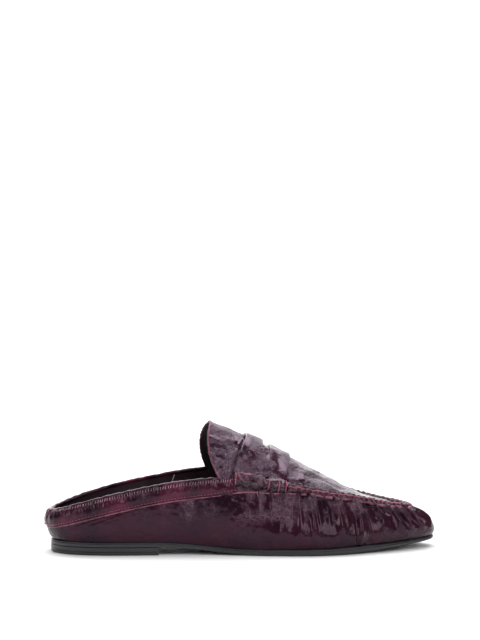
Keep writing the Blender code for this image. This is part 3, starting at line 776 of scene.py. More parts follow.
@dataclass
class Effects:
    """Node groups that several finishes share; a pace is a share of the group's Scale."""

    drift_pace: float = 0.55
    drift_reach: float = 1.1
    fine_pace: float = 2.6
    fine_width: float = 1.7
    fine_share: float = 0.6
    line_blur: float = 0.3
    line_height: float = -0.60
    patch_pace: float = 0.22
    patch_shift: float = -0.3
    patch_span: Span = (0.30, 0.48)
    swell_pace: float = 0.8
    swell_height: float = 0.45
    grain_pace: float = 2.2
    grain_floor: float = 0.15
    cloud_span: Span = (0.35, 0.65)

    def __post_init__(self) -> None:
        """Build each group once."""
        self.crinkle = self._crinkle()
        self.speckle = self._speckle()

    def _creases(self, nodes: Nodes, vector: object, scale: object, width: object) -> Socket:
        """Mask of the borders between random cells: 1 - distance to the border / width."""
        away = nodes.add("TexVoronoi", {"Vector": vector, "Scale": scale},
                         feature="DISTANCE_TO_EDGE").outputs["Distance"]
        return nodes.maths("SUBTRACT", 1.0, nodes.maths(
            "SMOOTH_MIN", 1.0, nodes.maths("DIVIDE", away, width), self.line_blur))

    def _crinkle(self) -> bpy.types.NodeTree:
        """Hair-fine broken creases of patent leather: thin lines along warped random cells.

        Returns:
            A group with a Height for a bump, a Lines mask and a mask of the Patches.
        """
        nodes = new_group("crinkle", {"Scale": 180.0, "Width": 0.05, "Patchy": 0.5, "Grain": 0.3},
                          ("Height", "Lines", "Patches"))
        given = nodes.add("NodeGroupInput").outputs
        vector, scale, width = given["Vector"], given["Scale"], given["Width"]
        drift = nodes.noise(vector, nodes.times(scale, self.drift_pace), 4.0, output="Color")
        moved = nodes.add("VectorMath", {0: drift, 1: (0.5, 0.5, 0.5)}, operation="SUBTRACT")
        reach = nodes.maths("DIVIDE", self.drift_reach, scale)
        sway = nodes.add("VectorMath", {0: moved.outputs[0], "Scale": reach}, operation="SCALE")
        warped = nodes.add("VectorMath", {0: vector, 1: sway.outputs[0]}, operation="ADD").outputs[0]
        patches = nodes.noise(vector, nodes.times(scale, self.patch_pace), 2.0)
        patches = nodes.plus(patches, nodes.times(given["Patchy"], self.patch_shift))
        shown = nodes.span(patches, *self.patch_span)
        broad = self._creases(nodes, warped, scale, width)
        thin = self._creases(nodes, warped, nodes.times(scale, self.fine_pace),
                             nodes.times(width, self.fine_width))
        both = nodes.maths("MAXIMUM", broad, nodes.times(thin, self.fine_share))
        lines = nodes.add("Math", {0: both, 1: shown}, operation="MULTIPLY", use_clamp=True).outputs[0]
        swell = nodes.noise(vector, nodes.times(scale, self.swell_pace), 2.0)
        grain = nodes.noise(warped, nodes.times(scale, self.grain_pace), 3.0, 0.6)
        height = nodes.plus(nodes.times(swell, self.swell_height), nodes.times(lines, self.line_height))
        held = nodes.plus(nodes.times(shown, 1.0 - self.grain_floor), self.grain_floor)
        height = nodes.plus(height, nodes.times(nodes.times(grain, given["Grain"]), held))
        nodes.add("NodeGroupOutput", {"Height": height, "Lines": lines, "Patches": shown})
        return nodes.tree

    def _speckle(self) -> bpy.types.NodeTree:
        """Fine even grain and a soft cloud, for lining, rubber and thread.

        Returns:
            A group with a Height for a bump and a Cloud mask.
        """
        nodes = new_group("speckle", {"Scale": 900.0, "Cloud Scale": 40.0}, ("Height", "Cloud"))
        given = nodes.add("NodeGroupInput").outputs
        grain = nodes.noise(given["Vector"], given["Scale"], 2.0, 0.7)
        cloud = nodes.noise(given["Vector"], given["Cloud Scale"], 3.0)
        nodes.add("NodeGroupOutput", {"Height": grain, "Cloud": nodes.span(cloud, *self.cloud_span)})
        return nodes.tree


def new_material(name: str, colour: Colour) -> tuple[Material, Nodes, bpy.types.Node]:
    """Start a material.

    Args:
        name: Name of the material.
        colour: Its colour in Blender's solid view.

    Returns:
        The material, short hand for its tree, and its Principled BSDF.
    """
    material = bpy.data.materials.new(name)
    material.use_nodes = True
    material.diffuse_color = (*colour, 1.0)
    return material, Nodes(material.node_tree), material.node_tree.nodes["Principled BSDF"]


@dataclass(frozen=True)
class PatentLeather:
    """Glossy lacquered leather: wine base, crinkles that break the gloss, and edge lines; a dark edge
    colour makes them a painted shade band.
    """

    name: str
    deep: Colour = (0.0100, 0.0022, 0.0060)
    rich: Colour = (0.0270, 0.0045, 0.0125)
    edge: Colour = (0.200, 0.045, 0.085)
    line: Colour = (0.110, 0.055, 0.080)
    crinkle_scale: float = 300.0
    crinkle_width: float = 0.100
    crinkle_depth: float = 0.00045
    patchy: float = 0.5
    grain: float = 0.34
    line_share: float = 0.75
    smooth_below: float = -0.02
    smooth_behind: float = -0.20
    roughness: float = 0.12
    gloss: float = 0.30
    tint: Colour = (1.0, 0.80, 0.95)
    # UV rows that get the edge colour; a dark edge colour on them paints shade, as on the roll's lower
    # flank.
    edge_and_shade_rows: tuple[float, ...] = ()
    edge_width: float = 0.02
    cloud_scale: float = 38.0
    cloud_span: Span = (0.38, 0.66)
    rise_reach: float = 0.012
    rise_floor: float = 0.06
    ahead_reach: float = 0.035
    ahead_floor: float = 0.15
    wander_scale: float = 420.0
    wander_span: Span = (0.30, 0.52)
    edge_core: float = 0.4
    dulling: float = 0.14

    def shown(self, nodes: Nodes, place: Socket) -> Socket:
        """Mask of the crinkles, which fade below a height and behind a place along the shoe."""
        ahead, _, height = nodes.add("SeparateXYZ", {0: place}).outputs
        return nodes.times(
            nodes.span(height, self.smooth_below, self.smooth_below + self.rise_reach, self.rise_floor),
            nodes.span(ahead, self.smooth_behind, self.smooth_behind + self.ahead_reach,
                       self.ahead_floor))

    def edge_lines_and_shade(self, nodes: Nodes, place: bpy.types.bpy_prop_collection,
                   colour: Socket) -> Socket:
        """Colour with a wandering edge line along each row of the piece's UV map; with a dark edge colour
        the line is painted shade.

        Args:
            nodes: Short hand for the material's tree.
            place: Outputs of its Texture Coordinate node.
            colour: The colour under the lines.

        Returns:
            The colour with the lines.
        """
        rows = nodes.add("SeparateXYZ", {0: place["UV"]}).outputs[1]
        wander = nodes.noise(place["Object"], self.wander_scale, 2.0)
        rows = nodes.plus(rows, nodes.times(nodes.maths("SUBTRACT", wander, 0.5), self.edge_width))
        for row in self.edge_and_shade_rows:
            away = nodes.maths("ABSOLUTE", nodes.maths("SUBTRACT", rows, row))
            near = nodes.span(away, self.edge_core * self.edge_width, self.edge_width, 1.0, 0.0)
            share = nodes.times(near, nodes.span(wander, *self.wander_span))
            # Blend in the edge colour; where it is dark this is painted shade.
            colour = nodes.blend(share, colour, self.edge)
        return colour

    def build(self, effects: Effects) -> Material:
        """Build the material.

        Args:
            effects: Shared node groups.

        Returns:
            The material.
        """
        material, nodes, shader = new_material(self.name, self.rich)
        place = nodes.add("TexCoord").outputs
        crinkle = nodes.add("Group", node_tree=effects.crinkle)
        nodes.link(place["Object"], crinkle, "Vector")
        for label, value in (("Scale", self.crinkle_scale), ("Width", self.crinkle_width),
                             ("Patchy", self.patchy), ("Grain", self.grain)):
            crinkle.inputs[label].default_value = value
        cloud = nodes.noise(place["Object"], self.cloud_scale, 4.0)
        colour = nodes.blend(nodes.span(cloud, *self.cloud_span), self.deep, self.rich)
        shown = self.shown(nodes, place["Object"])
        faint = nodes.times(nodes.times(crinkle.outputs["Lines"], self.line_share), shown)
        colour = nodes.blend(faint, colour, self.line)
        if self.edge_and_shade_rows:
            colour = self.edge_lines_and_shade(nodes, place, colour)
        nodes.link(colour, shader, "Base Color")
        broken = nodes.times(crinkle.outputs["Patches"], shown)
        rough = nodes.span(broken, 0.0, 1.0, self.roughness, self.roughness + self.dulling)
        nodes.link(rough, shader, "Roughness")
        relief = nodes.times(crinkle.outputs["Height"], shown)
        bump = nodes.add("Bump", {"Strength": 1.0, "Distance": self.crinkle_depth, "Height": relief})
        nodes.link(bump.outputs[0], shader, "Normal")
        shader.inputs["Specular IOR Level"].default_value = self.gloss
        shader.inputs["Specular Tint"].default_value = (*self.tint, 1.0)
        return material


@dataclass(frozen=True)
class SoftFinish:
    """Matt or satin finish with a fine grain: lining, sock, rubber or thread."""

    name: str
    dark: Colour
    light: Colour
    roughness: float = 0.6
    grain_scale: float = 900.0
    grain_depth: float = 0.00012
    cloud_scale: float = 40.0
    bump_strength: float = 0.7
    smoother: float = 0.06
    rougher: float = 0.08

    def build(self, effects: Effects) -> Material:
        """Build the material.

        Args:
            effects: Shared node groups.

        Returns:
            The material.
        """
        material, nodes, shader = new_material(self.name, self.light)
        place = nodes.add("TexCoord").outputs
        grain = nodes.add("Group", node_tree=effects.speckle)
        nodes.link(place["Object"], grain, "Vector")
        grain.inputs["Scale"].default_value = self.grain_scale
        grain.inputs["Cloud Scale"].default_value = self.cloud_scale
        colour = nodes.blend(grain.outputs["Cloud"], self.dark, self.light)
        nodes.link(colour, shader, "Base Color")
        rough = nodes.span(grain.outputs["Cloud"], 0.0, 1.0, self.roughness - self.smoother,
                           self.roughness + self.rougher)
        nodes.link(rough, shader, "Roughness")
        bump = nodes.add("Bump", {"Strength": self.bump_strength, "Distance": self.grain_depth,
                                  "Height": grain.outputs["Height"]})
        nodes.link(bump.outputs[0], shader, "Normal")
        return material


@dataclass
class SideWall:
    """Leather side wall: from the sole to the top edge, pleated under the apron seam."""

    form: Form
    ribs: int = 880
    columns: int = 46
    gauge: float = 0.0012
    gather: Wave = Wave(0.00020, 0.0021, 11)
    gather_fade: float = 0.0060
    sway: Wave = Wave(0.00020, 0.011, 12)
    sway_floor: float = 0.35
    fine: Wave = Wave(0.00005, 0.0034, 13)
    crowding: float = 0.34
    deepen: float = 1.85
    lengthen: float = 1.2
    lean_curve: float = 1.2
    narrowest: float = 0.62
    widening: float = 0.8
    start_depth: float = 0.6
    start_reach: float = 0.10
    fade_from: float = 0.60
    inner_least: Span = (-0.006, 0.5)
    inner_most: Span = (0.006, 0.85)
    front: Span = (0.50, 0.64)
    foot_reach: float = 0.07
    deepest: float = 0.75
    hairs_a_side: int = 46
    hair_width: float = 0.0006
    hair_spread: float = 0.10
    hair_least: tuple[float, ...] = (0.30, 0.26, 0.8, 0.05, -0.00014)
    hair_most: tuple[float, ...] = (0.50, 0.72, 1.9, 0.13, 0.00016)
    lining_ribs: int = 300
    lining_columns: int = 22
    seam_shares: Span = (0.338, 0.316)
    seam_depths: Span = (0.0006, 0.0150)
    seam_points: int = 14
    seam_step: float = 0.0005
    seam_rise: float = 0.0001
    seam_radius: float = 0.00038
    uv_size: Span = (0.6, 0.035)
    pleats: ClassVar[tuple[Crease, ...]] = tuple(Crease(*row) for row in (
        (0.524, 0.001, 0.60, 0.0011, -0.00040),
        (0.557, 0.002, 0.50, 0.0022, -0.00050),
        (0.575, 0.001, 0.45, 0.0012, 0.00030),
        (0.594, -0.001, 0.85, 0.0026, -0.00070),
        (0.612, 0.000, 0.60, 0.0012, 0.00040),
        (0.627, 0.002, 0.80, 0.0018, -0.00070),
        (0.640, 0.001, 0.48, 0.0016, 0.00080),
        (0.652, 0.006, 0.85, 0.0016, -0.00110),
        (0.667, 0.004, 0.65, 0.0011, -0.00060),
        (0.682, 0.002, 0.50, 0.0016, 0.00040),
        (0.692, 0.003, 0.60, 0.0014, -0.00080),
        (0.703, 0.002, 0.55, 0.0018, 0.00080),
        (0.717, 0.004, 0.75, 0.0020, -0.00120),
        (0.735, 0.002, 0.60, 0.0014, -0.00070),
        (0.752, 0.000, 0.50, 0.0018, 0.00090),
        (0.762, 0.0005, 1.40, 0.0008, 0.00090),
        (0.776, -0.003, 1.00, 0.0019, -0.00140),
        (0.791, 0.000, 1.40, 0.0007, 0.00060),
        (0.806, 0.001, 0.45, 0.0024, 0.00080),
        (0.826, -0.001, 0.65, 0.0017, -0.00100),
        (0.842, 0.001, 0.35, 0.0018, 0.00080),
        (0.857, 0.003, 0.70, 0.0018, -0.00120),
        (0.870, 0.002, 0.60, 0.0013, 0.00070),
        (0.880, 0.003, 0.70, 0.0016, -0.00100),
        (0.893, 0.002, 0.60, 0.0013, 0.00060),
        (0.905, 0.002, 0.70, 0.0017, -0.00110),
        (0.918, 0.001, 0.55, 0.0013, 0.00060),
        (0.928, 0.001, 0.65, 0.0016, -0.00090),
    ))
    folds: ClassVar[tuple[Fold, ...]] = tuple(Fold(*row) for row in (
        (0.168, 0.49, 0.208, 0.68, 0.0008, 0.00030),
        (0.230, 0.78, 0.268, 0.95, 0.0008, 0.00025),
        (0.300, 0.42, 0.345, 0.62, 0.0009, 0.00018),
        (0.426, 0.25, 0.514, 0.50, 0.0010, 0.00040),
        (0.514, 0.55, 0.512, 1.00, 0.0007, 0.00025),
        (0.655, 0.66, 0.655, 1.00, 0.0007, 0.00030),
        (0.470, 0.30, 0.585, 0.52, 0.0012, 0.00030),
    ))

    def places(self) -> Array:
        """Rib places on the loop, closer together round the toe: share + sine of share."""
        share = np.arange(self.ribs) / self.ribs
        crowd = self.crowding * np.sin(2.0 * math.pi * share) / (2.0 * math.pi)
        return self.form.period * (share + crowd)

    def pleat_relief(self, run: Array, down: Array) -> Array:
        """Pleats: bells across the top edge's run, whose middles lean forward as they go down.

        Args:
            run: Run of each rib along the top edge, as a column.
            down: Shares of the rib below the top edge, one for each column.

        Returns:
            Depths in metres, ribs by columns.
        """
        form, total = self.form, np.zeros((len(run), len(down)))
        dice = np.random.default_rng(7)
        start = smooth_step(0.0, self.start_reach, down)
        start = self.start_depth + (1.0 - self.start_depth) * start
        for side in Side:
            for pleat in self.pleats:
                shift, swell = 0.0, 1.0
                if side is Side.INNER:
                    shift, swell = dice.uniform(self.inner_least, self.inner_most)
                reach = pleat.reach * self.lengthen
                middle = form.top_run(form.place(pleat.share + shift, side)) \
                    - side.value * pleat.lean * (down / reach) ** self.lean_curve
                width = pleat.width * (self.narrowest + self.widening * down)
                fade = start * (1.0 - smooth_step(self.fade_from * reach, reach, down))
                total += self.deepen * pleat.depth * swell * bell(run - middle, width) * fade
        return total

    def fold_relief(self, run: Array, below: Array, length: float) -> Array:
        """Folds and hairs: bells about straight lines, deepest in the middle of each line.

        Args:
            run: Run of each rib along the top edge, as a column.
            below: Distances below the top edge, ribs by columns.
            length: Mean length of a rib.

        Returns:
            Depths in metres, ribs by columns.
        """
        form, total = self.form, np.zeros(below.shape)
        for side in Side:
            for fold in self.folds + self.hairs(side):
                start, end = (form.top_run(form.place(s, side)) for s in (fold.share, fold.end_share))
                high, low = length * fold.down, length * fold.end_down
                line, drop = end - start, low - high
                share = ((run - start) * line + (below - high) * drop) / (line ** 2 + drop ** 2)
                share = np.clip(share, 0.0, 1.0)
                away = np.hypot(run - start - share * line, below - high - share * drop)
                total += fold.depth * bell(away, fold.width) \
                    * np.sin(math.pi * np.clip(share, 0.08, 0.92))
        return total

    def relief(self, places: Array, down: Array, length: Array) -> Array:
        """Depth of the pleats, folds, gathers and random ripples below the smooth skin.

        Args:
            places: Rib places.
            down: Shares of the rib below the top edge, one for each column.
            length: Length of each rib, as a column.

        Returns:
            Depths in metres, ribs by columns.
        """
        run = self.form.top_run(places)[:, None]
        below = down * length
        total = self.pleat_relief(run, down) + self.fold_relief(run, below, float(length.mean()))
        front = smooth_step(*self.front, self.form.share(places))[:, None]
        total += front * np.exp(-below / self.gather_fade) * self.gather.at(run, 0.12 * below)
        total += (self.sway_floor + (1.0 - self.sway_floor) * front) * self.sway.at(run, 0.5 * below)
        total += self.fine.at(run, below)
        foot = smooth_step(0.0, self.foot_reach, 1.0 - down)
        return np.minimum(total, self.deepest * self.gauge) * foot

    def hairs(self, side: Side) -> tuple[Fold, ...]:
        """Short thin creases of the quarter, thrown at random.

        Args:
            side: Side of the shoe.

        Returns:
            The creases of that side.
        """
        dice = np.random.default_rng(40 + side.value)
        made = []
        for _ in range(self.hairs_a_side):
            share, down, turn, reach, depth = dice.uniform(self.hair_least, self.hair_most)
            end = share + self.hair_spread * reach * math.cos(turn), down + reach * math.sin(turn)
            made.append(Fold(share, down, *end, self.hair_width, depth))
        return tuple(made)

    def build(self, leather: Material, lining: Material) -> None:
        """Build the pleated leather and the smooth lining inside it.

        Args:
            leather: Finish of the leather.
            lining: Finish of the lining.
        """
        form, places = self.form, self.places()
        arcs = form.ribs(places)
        down = np.linspace(1.0, 0.0, self.columns)
        skin = arcs.at(arcs.length * (1.0 - down))
        normals = surface_normals(skin, ring=True)
        outer = skin - normals * self.relief(places, down, arcs.length)[..., None]
        run = np.append(form.top_run(places), form.girth)
        sheet = Sheet.from_grid(outer, grid_uv(run[:, None], down * self.uv_size[1]))
        make_piece("wall_leather", sheet.thickened(skin - normals * self.gauge), leather, "upper")
        arcs = form.ribs(np.linspace(0.0, form.period, self.lining_ribs + 1)[:-1])
        up = np.linspace(0.0, 1.0, self.lining_columns)
        skin = arcs.at(arcs.length * up)
        uv = grid_uv(np.linspace(0.0, self.uv_size[0], self.lining_ribs + 1)[:, None],
                     up * self.uv_size[1])
        sheet = lining_sheet(skin, surface_normals(skin, ring=True), uv, form.last)
        make_piece("wall_lining", sheet, lining, "upper")

    def build_lining_seam(self, thread: Material) -> None:
        """Build the slanted seam that joins the lining on the inner side, as one pale line.

        Args:
            thread: Finish of the seam.
        """
        form = self.form
        places = form.place(np.linspace(*self.seam_shares, self.seam_points), Side.INNER)
        depths = np.linspace(*self.seam_depths, self.seam_points)[:, None]
        arcs = form.ribs(places)
        grid = arcs.at(arcs.length - depths - np.array([[self.seam_step, 0.0, -self.seam_step]]))
        ways = surface_normals(grid)[:, 1]
        ways *= np.sign(ways[:, 1:2] * Side.INNER.value)
        path = grid[:, 1] - ways * (form.last.wall + self.seam_rise)
        side = unit(np.cross(np.gradient(path, axis=0), ways))
        sheet = stitches(path[None], side[None], self.seam_radius)
        make_piece("lining_seam", sheet, thread, "upper", weld=True)


@dataclass
class Apron:
    """Apron and tongue in one: from seam to seam over the crest, with a raw edge at the back."""

    form: Form
    rows: int = 230
    half_columns: int = 56
    gauge: float = 0.0012
    edge_radius: float = 0.00075
    edge_points: int = 90
    half_width: float = 0.05
    lining_start: float = 0.02
    lining_rows: int = 90
    lining_columns: int = 24
    wave: Wave = Wave(0.00018, 0.012, 21)
    fine: Wave = Wave(0.00005, 0.0035, 22)
    edge_rumple: Wave = Wave(0.12, 0.004, 23)
    edge_pace: float = 0.0006
    tongue_rows: Span = (0.95, 1.05)
    border_depth: float = 0.00070
    border_width: float = 0.035
    crease_rows: Span = (1.0, 3.0)
    crease_depth: float = 0.00050
    crease_width: float = 0.0010
    pull_start: Span = (-0.004, 0.002)
    pull_fade: float = 0.016
    pulls: ClassVar[tuple[Pull, ...]] = (
        Pull(-0.026, 0.20, 0.0016, 0.00040), Pull(-0.021, 0.12, 0.0014, -0.00035),
        Pull(-0.016, 0.08, 0.0018, 0.00040), Pull(-0.010, 0.05, 0.0016, -0.00030),
        Pull(0.008, 0.02, 0.0020, 0.00030), Pull(0.019, -0.06, 0.0018, 0.00035))

    def grid(self, rows: Array, columns: int) -> tuple[Array, Array]:
        """Smooth skin from the outer seam over the crest to the inner seam.

        Args:
            rows: Fractional rows of the crest table.
            columns: Points on each half.

        Returns:
            Points and normals, rows by columns by 3.
        """
        outer, inner = self.form.apron_ribs(rows)
        share = np.linspace(0.0, 1.0, columns)
        left, right = outer.at(outer.length * share), inner.at(inner.length * share)
        skin = np.concatenate([left, right[:, -2::-1]], axis=1)
        normals = surface_normals(skin)
        if rows[-1] >= self.form.last.tip_row - NEAR:
            normals[-1] = unit(normals[-1] + normals[-1, ::-1])
        return skin, normals

    def build(self, leather: Material, lining: Material,
              raw_edge: Material) -> None:
        """Build the leather, its lining and the bead along the tongue's free edge.

        Args:
            leather: Finish of the leather.
            lining: Finish of the lining.
            raw_edge: Finish of the bead.
        """
        last = self.form.last
        rows = np.linspace(0.0, last.tip_row, self.rows)
        skin, normals = self.grid(rows, self.half_columns)
        outer = skin - normals * self.relief(rows, skin)[..., None]
        uv = grid_uv(skin[..., 0], self.across(skin))
        sheet = Sheet.from_grid(outer, uv, merge=self.tip_merge(skin.shape[1]))
        make_piece("apron_leather", sheet.thickened(skin - normals * self.gauge), leather, "upper")
        rows = np.linspace(self.lining_start, last.tip_row, self.lining_rows)
        skin, normals = self.grid(rows, self.lining_columns)
        sheet = lining_sheet(skin, normals, grid_uv(skin[..., 0], self.across(skin)), last)
        make_piece("tongue_lining", sheet, lining, "upper")
        self.build_edge(raw_edge)

    def across(self, skin: Array) -> Array:
        """Sideways UV of each column of a skin."""
        return np.linspace(-self.half_width, self.half_width, skin.shape[1])

    def tip_merge(self, columns: int) -> Array:
        """Point numbers that stand for each point: the last row folds onto itself at the toe."""
        merge = np.arange(self.rows * columns)
        tip = merge[-columns:]
        merge[-columns:] = np.where(np.arange(columns) > columns // 2, tip[::-1], tip)
        return merge

    def relief(self, rows: Array, skin: Array) -> Array:
        """Depth of the waves, the strap's pulls, the tongue's border and two creases at the strap.

        Args:
            rows: Fractional rows of the crest table.
            skin: Smooth skin at those rows.

        Returns:
            Depths in metres, rows by columns.
        """
        x, y, z = np.moveaxis(skin, 2, 0)
        total = self.wave.at(x, y + z) + self.fine.at(x, y + z) + self.strap_pulls(x, y)
        column = np.arange(skin.shape[1])
        border = np.minimum(column, column[::-1]) / self.half_columns
        tongue = 1.0 - smooth_step(*self.tongue_rows, rows)[:, None]
        total = total + self.border_depth * tongue * bell(border, self.border_width)
        for row in self.crease_rows:
            line = self.grid(np.array([row, row + 0.02]), self.half_columns)[0][0]
            away = np.linalg.norm(skin - line[None], axis=2)
            total = total + self.crease_depth * bell(away, self.crease_width)
        return total

    def strap_pulls(self, x: Array, y: Array) -> Array:
        """Soft hollows that run forward from the strap's front edge: bells in y, fading in x."""
        last = self.form.last
        ahead = x - last.along(last.crests[3].crest_x)
        total = np.zeros(x.shape)
        for pull in self.pulls:
            total += pull.depth * bell(y - pull.middle - pull.lean * ahead, pull.width)
        fade = np.exp(-np.clip(ahead, 0.0, None) / self.pull_fade)
        return total * smooth_step(*self.pull_start, ahead) * fade

    def build_edge(self, raw_edge: Material) -> None:
        """Build the tongue's edge bead: a round rope along the free rib, half way into the wall."""
        skin, normals = self.grid(np.linspace(0.0, 0.06, 4), self.edge_points)
        path = skin[0] - normals[0] * 0.5 * self.gauge
        turn = ring_turns(12)
        swell = 1.0 + self.edge_rumple.at(np.arange(len(path)) * self.edge_pace)
        size = (self.edge_radius * swell)[:, None]
        sheet = Sheet.rope(path, normals[0], unit(skin[0] - skin[1]), size * np.cos(turn),
                           size * np.sin(turn))
        make_piece("tongue_edge", sheet, raw_edge, "upper", weld=True)


@dataclass
class CollarBinding:
    """Gathered band that wraps over the topline, from the strap round the heel."""

    form: Form
    stations: int = 1500
    height: float = 0.0110
    inside: float = 0.0008
    gauge: float = 0.0012
    puff: float = 0.00060
    ruffle: Wave = Wave(0.00034, 0.0015, 31, 24)
    ruffle_sink: float = 0.3
    ruffle_fade: float = 0.0011
    end_share: float = 0.462
    gather_pitch: float = 0.0017
    gather_radius: float = 0.00024
    gather_rise: float = 0.00004
    gather_depths: Span = (0.0001, 0.0031)
    root: Span = (0.424, 0.431)
    edge_round: float = 0.0060
    edge_least: float = 0.05
    rim_thinning: float = 0.55
    rim_reach: float = 0.0016
    soft: Wave = Wave(0.00016, 0.006, 32)
    gather_steps: Span = (0.75, 1.25)
    gather_slants: Span = (-0.6, 1.8)
    end_gap: float = 0.002
    seat: float = 0.0002
    inside_gauge: float = 0.30
    inside_gap: float = 0.0001

    def build(self, leather: Material, gather: Material) -> None:
        """Build the band: outside face, rim and inside face, with its ruffles and gathers.

        The outside is the wall lifted by the gauge, the rim is a half circle about the wall's
        edge, and the inside goes down the wall again. In front of the tongue's root the rim
        and inside close up, because the tongue stands there.

        Args:
            leather: Finish of the band.
            gather: Finish of the short gathered ridges under the rim, pale partly for a lighter thread and
                partly as painted highlight.
        """
        form = self.form
        half = float(form.place(self.end_share))
        places = np.linspace(-half, half, self.stations)
        arcs = form.ribs(places)
        out_depth = np.concatenate([np.linspace(self.height, 0.0045, 9), np.linspace(0.004, 0.0, 10)])
        in_depth = np.linspace(0.0, self.inside, 5)[1:]
        outside, inside = (arcs.at(arcs.length - depth) for depth in (out_depth, in_depth))
        out_way, in_way = surface_normals(outside), surface_normals(inside)
        in_way *= np.sign(np.sum(in_way[:, :1] * out_way[:, -1:], axis=2, keepdims=True))
        run = form.top_run(places)[:, None]
        run = np.where(places[:, None] < 0.0, run - form.girth, run)
        wrap = 1.0 - smooth_step(*self.root, form.share(places))[:, None]
        lift = self.lift(run, out_depth)
        face = outside + out_way * lift[..., None]
        base = outside + out_way * self.seat
        turn = np.linspace(0.0, math.pi, 11)[1:]
        turns = turn * wrap
        top, way = outside[:, -1], out_way[:, -1]
        up = unit(top - outside[:, -2])
        half_wall = 0.5 * form.last.wall
        middle = (top - way * half_wall)[:, None]
        swing = way[:, None] * np.cos(turns)[..., None] + up[:, None] * np.sin(turns)[..., None]
        radius = half_wall + lift[:, -1:] * (1.0 - self.rim_thinning * turn / math.pi)
        rim = middle + swing * radius[..., None]
        rim_base = middle + swing * (half_wall + self.seat)
        deep = inside - in_way * (form.last.wall + self.inside_gauge * self.gauge)
        deep_base = inside - in_way * (form.last.wall + self.inside_gap)
        deep = rim[:, -1:] + (deep - rim[:, -1:]) * wrap[..., None]
        deep_base = rim_base[:, -1:] + (deep_base - rim_base[:, -1:]) * wrap[..., None]
        grid = np.concatenate([face, rim, deep], axis=1)
        under = np.concatenate([base, rim_base, deep_base], axis=1)
        uv = grid_uv(run, np.linspace(0.0, 1.0, grid.shape[1]))
        make_piece("collar_binding_band", Sheet.from_grid(grid, uv).thickened(under), leather,
                   "collar_binding")
        columns = np.flatnonzero((out_depth < self.gather_depths[1]) & (out_depth > self.gather_depths[0]))
        self.build_gathers(gather, run[:, 0], face[:, columns], out_way[:, columns])

    def lift(self, run: Array, depth: Array) -> Array:
        """Height of the band over the wall: gauge, puff, ruffles and soft waves, rounded at its edge.

        Args:
            run: Run along the topline, as a column.
            depth: Depths below the topline.

        Returns:
            Heights in metres, run by depths.
        """
        fade = depth / self.ruffle_fade * np.exp(1.0 - depth / self.ruffle_fade)
        lowest = -self.ruffle_sink * self.ruffle.height
        ruffle = np.maximum(self.ruffle.at(run, 0.25 * depth), lowest) * fade
        soft = self.soft.at(run, 0.4 * depth)
        edge = quarter_round(self.height - depth, self.edge_round)
        thin = 1.0 - self.rim_thinning * bell(depth, self.rim_reach)
        puff = self.puff * np.sin(math.pi * np.clip(depth / self.height, 0.0, 1.0))
        flat = self.gauge * thin * (self.edge_least + (1.0 - self.edge_least) * edge)
        return self.form.last.clearance + flat + (puff + ruffle + soft) * edge

    def build_gathers(self, gather: Material, run: Array, face: Array, way: Array) -> None:
        """Build the short ridges under the rim, spaced and slanted at random.

        Args:
            gather: Finish of the ridges, pale partly for a lighter thread and partly as painted highlight.
            run: Run along the topline.
            face: The band's face under the rim, run by depths by 3.
            way: Its outward directions.
        """
        dice = np.random.default_rng(33)
        length = run[-1] - run[0]
        steps = dice.uniform(*self.gather_steps, int(length / self.gather_pitch))
        middles = run[0] + np.cumsum(steps) / steps.sum() * (length - self.end_gap)
        columns = np.arange(face.shape[1])
        slant = dice.uniform(*self.gather_slants, (len(middles), 1))
        slant = np.linspace(-1.5, 1.5, len(columns)) * slant
        index = np.searchsorted(run, middles)[:, None] + np.rint(slant).astype(int)
        index = np.clip(index, 0, len(run) - 1)
        ridges = face[index, columns] + way[index, columns] * self.gather_rise
        along = np.gradient(face, axis=0)[index, columns]
        make_piece("collar_gathers", stitches(ridges, along, self.gather_radius), gather,
                   "collar_binding", weld=True)


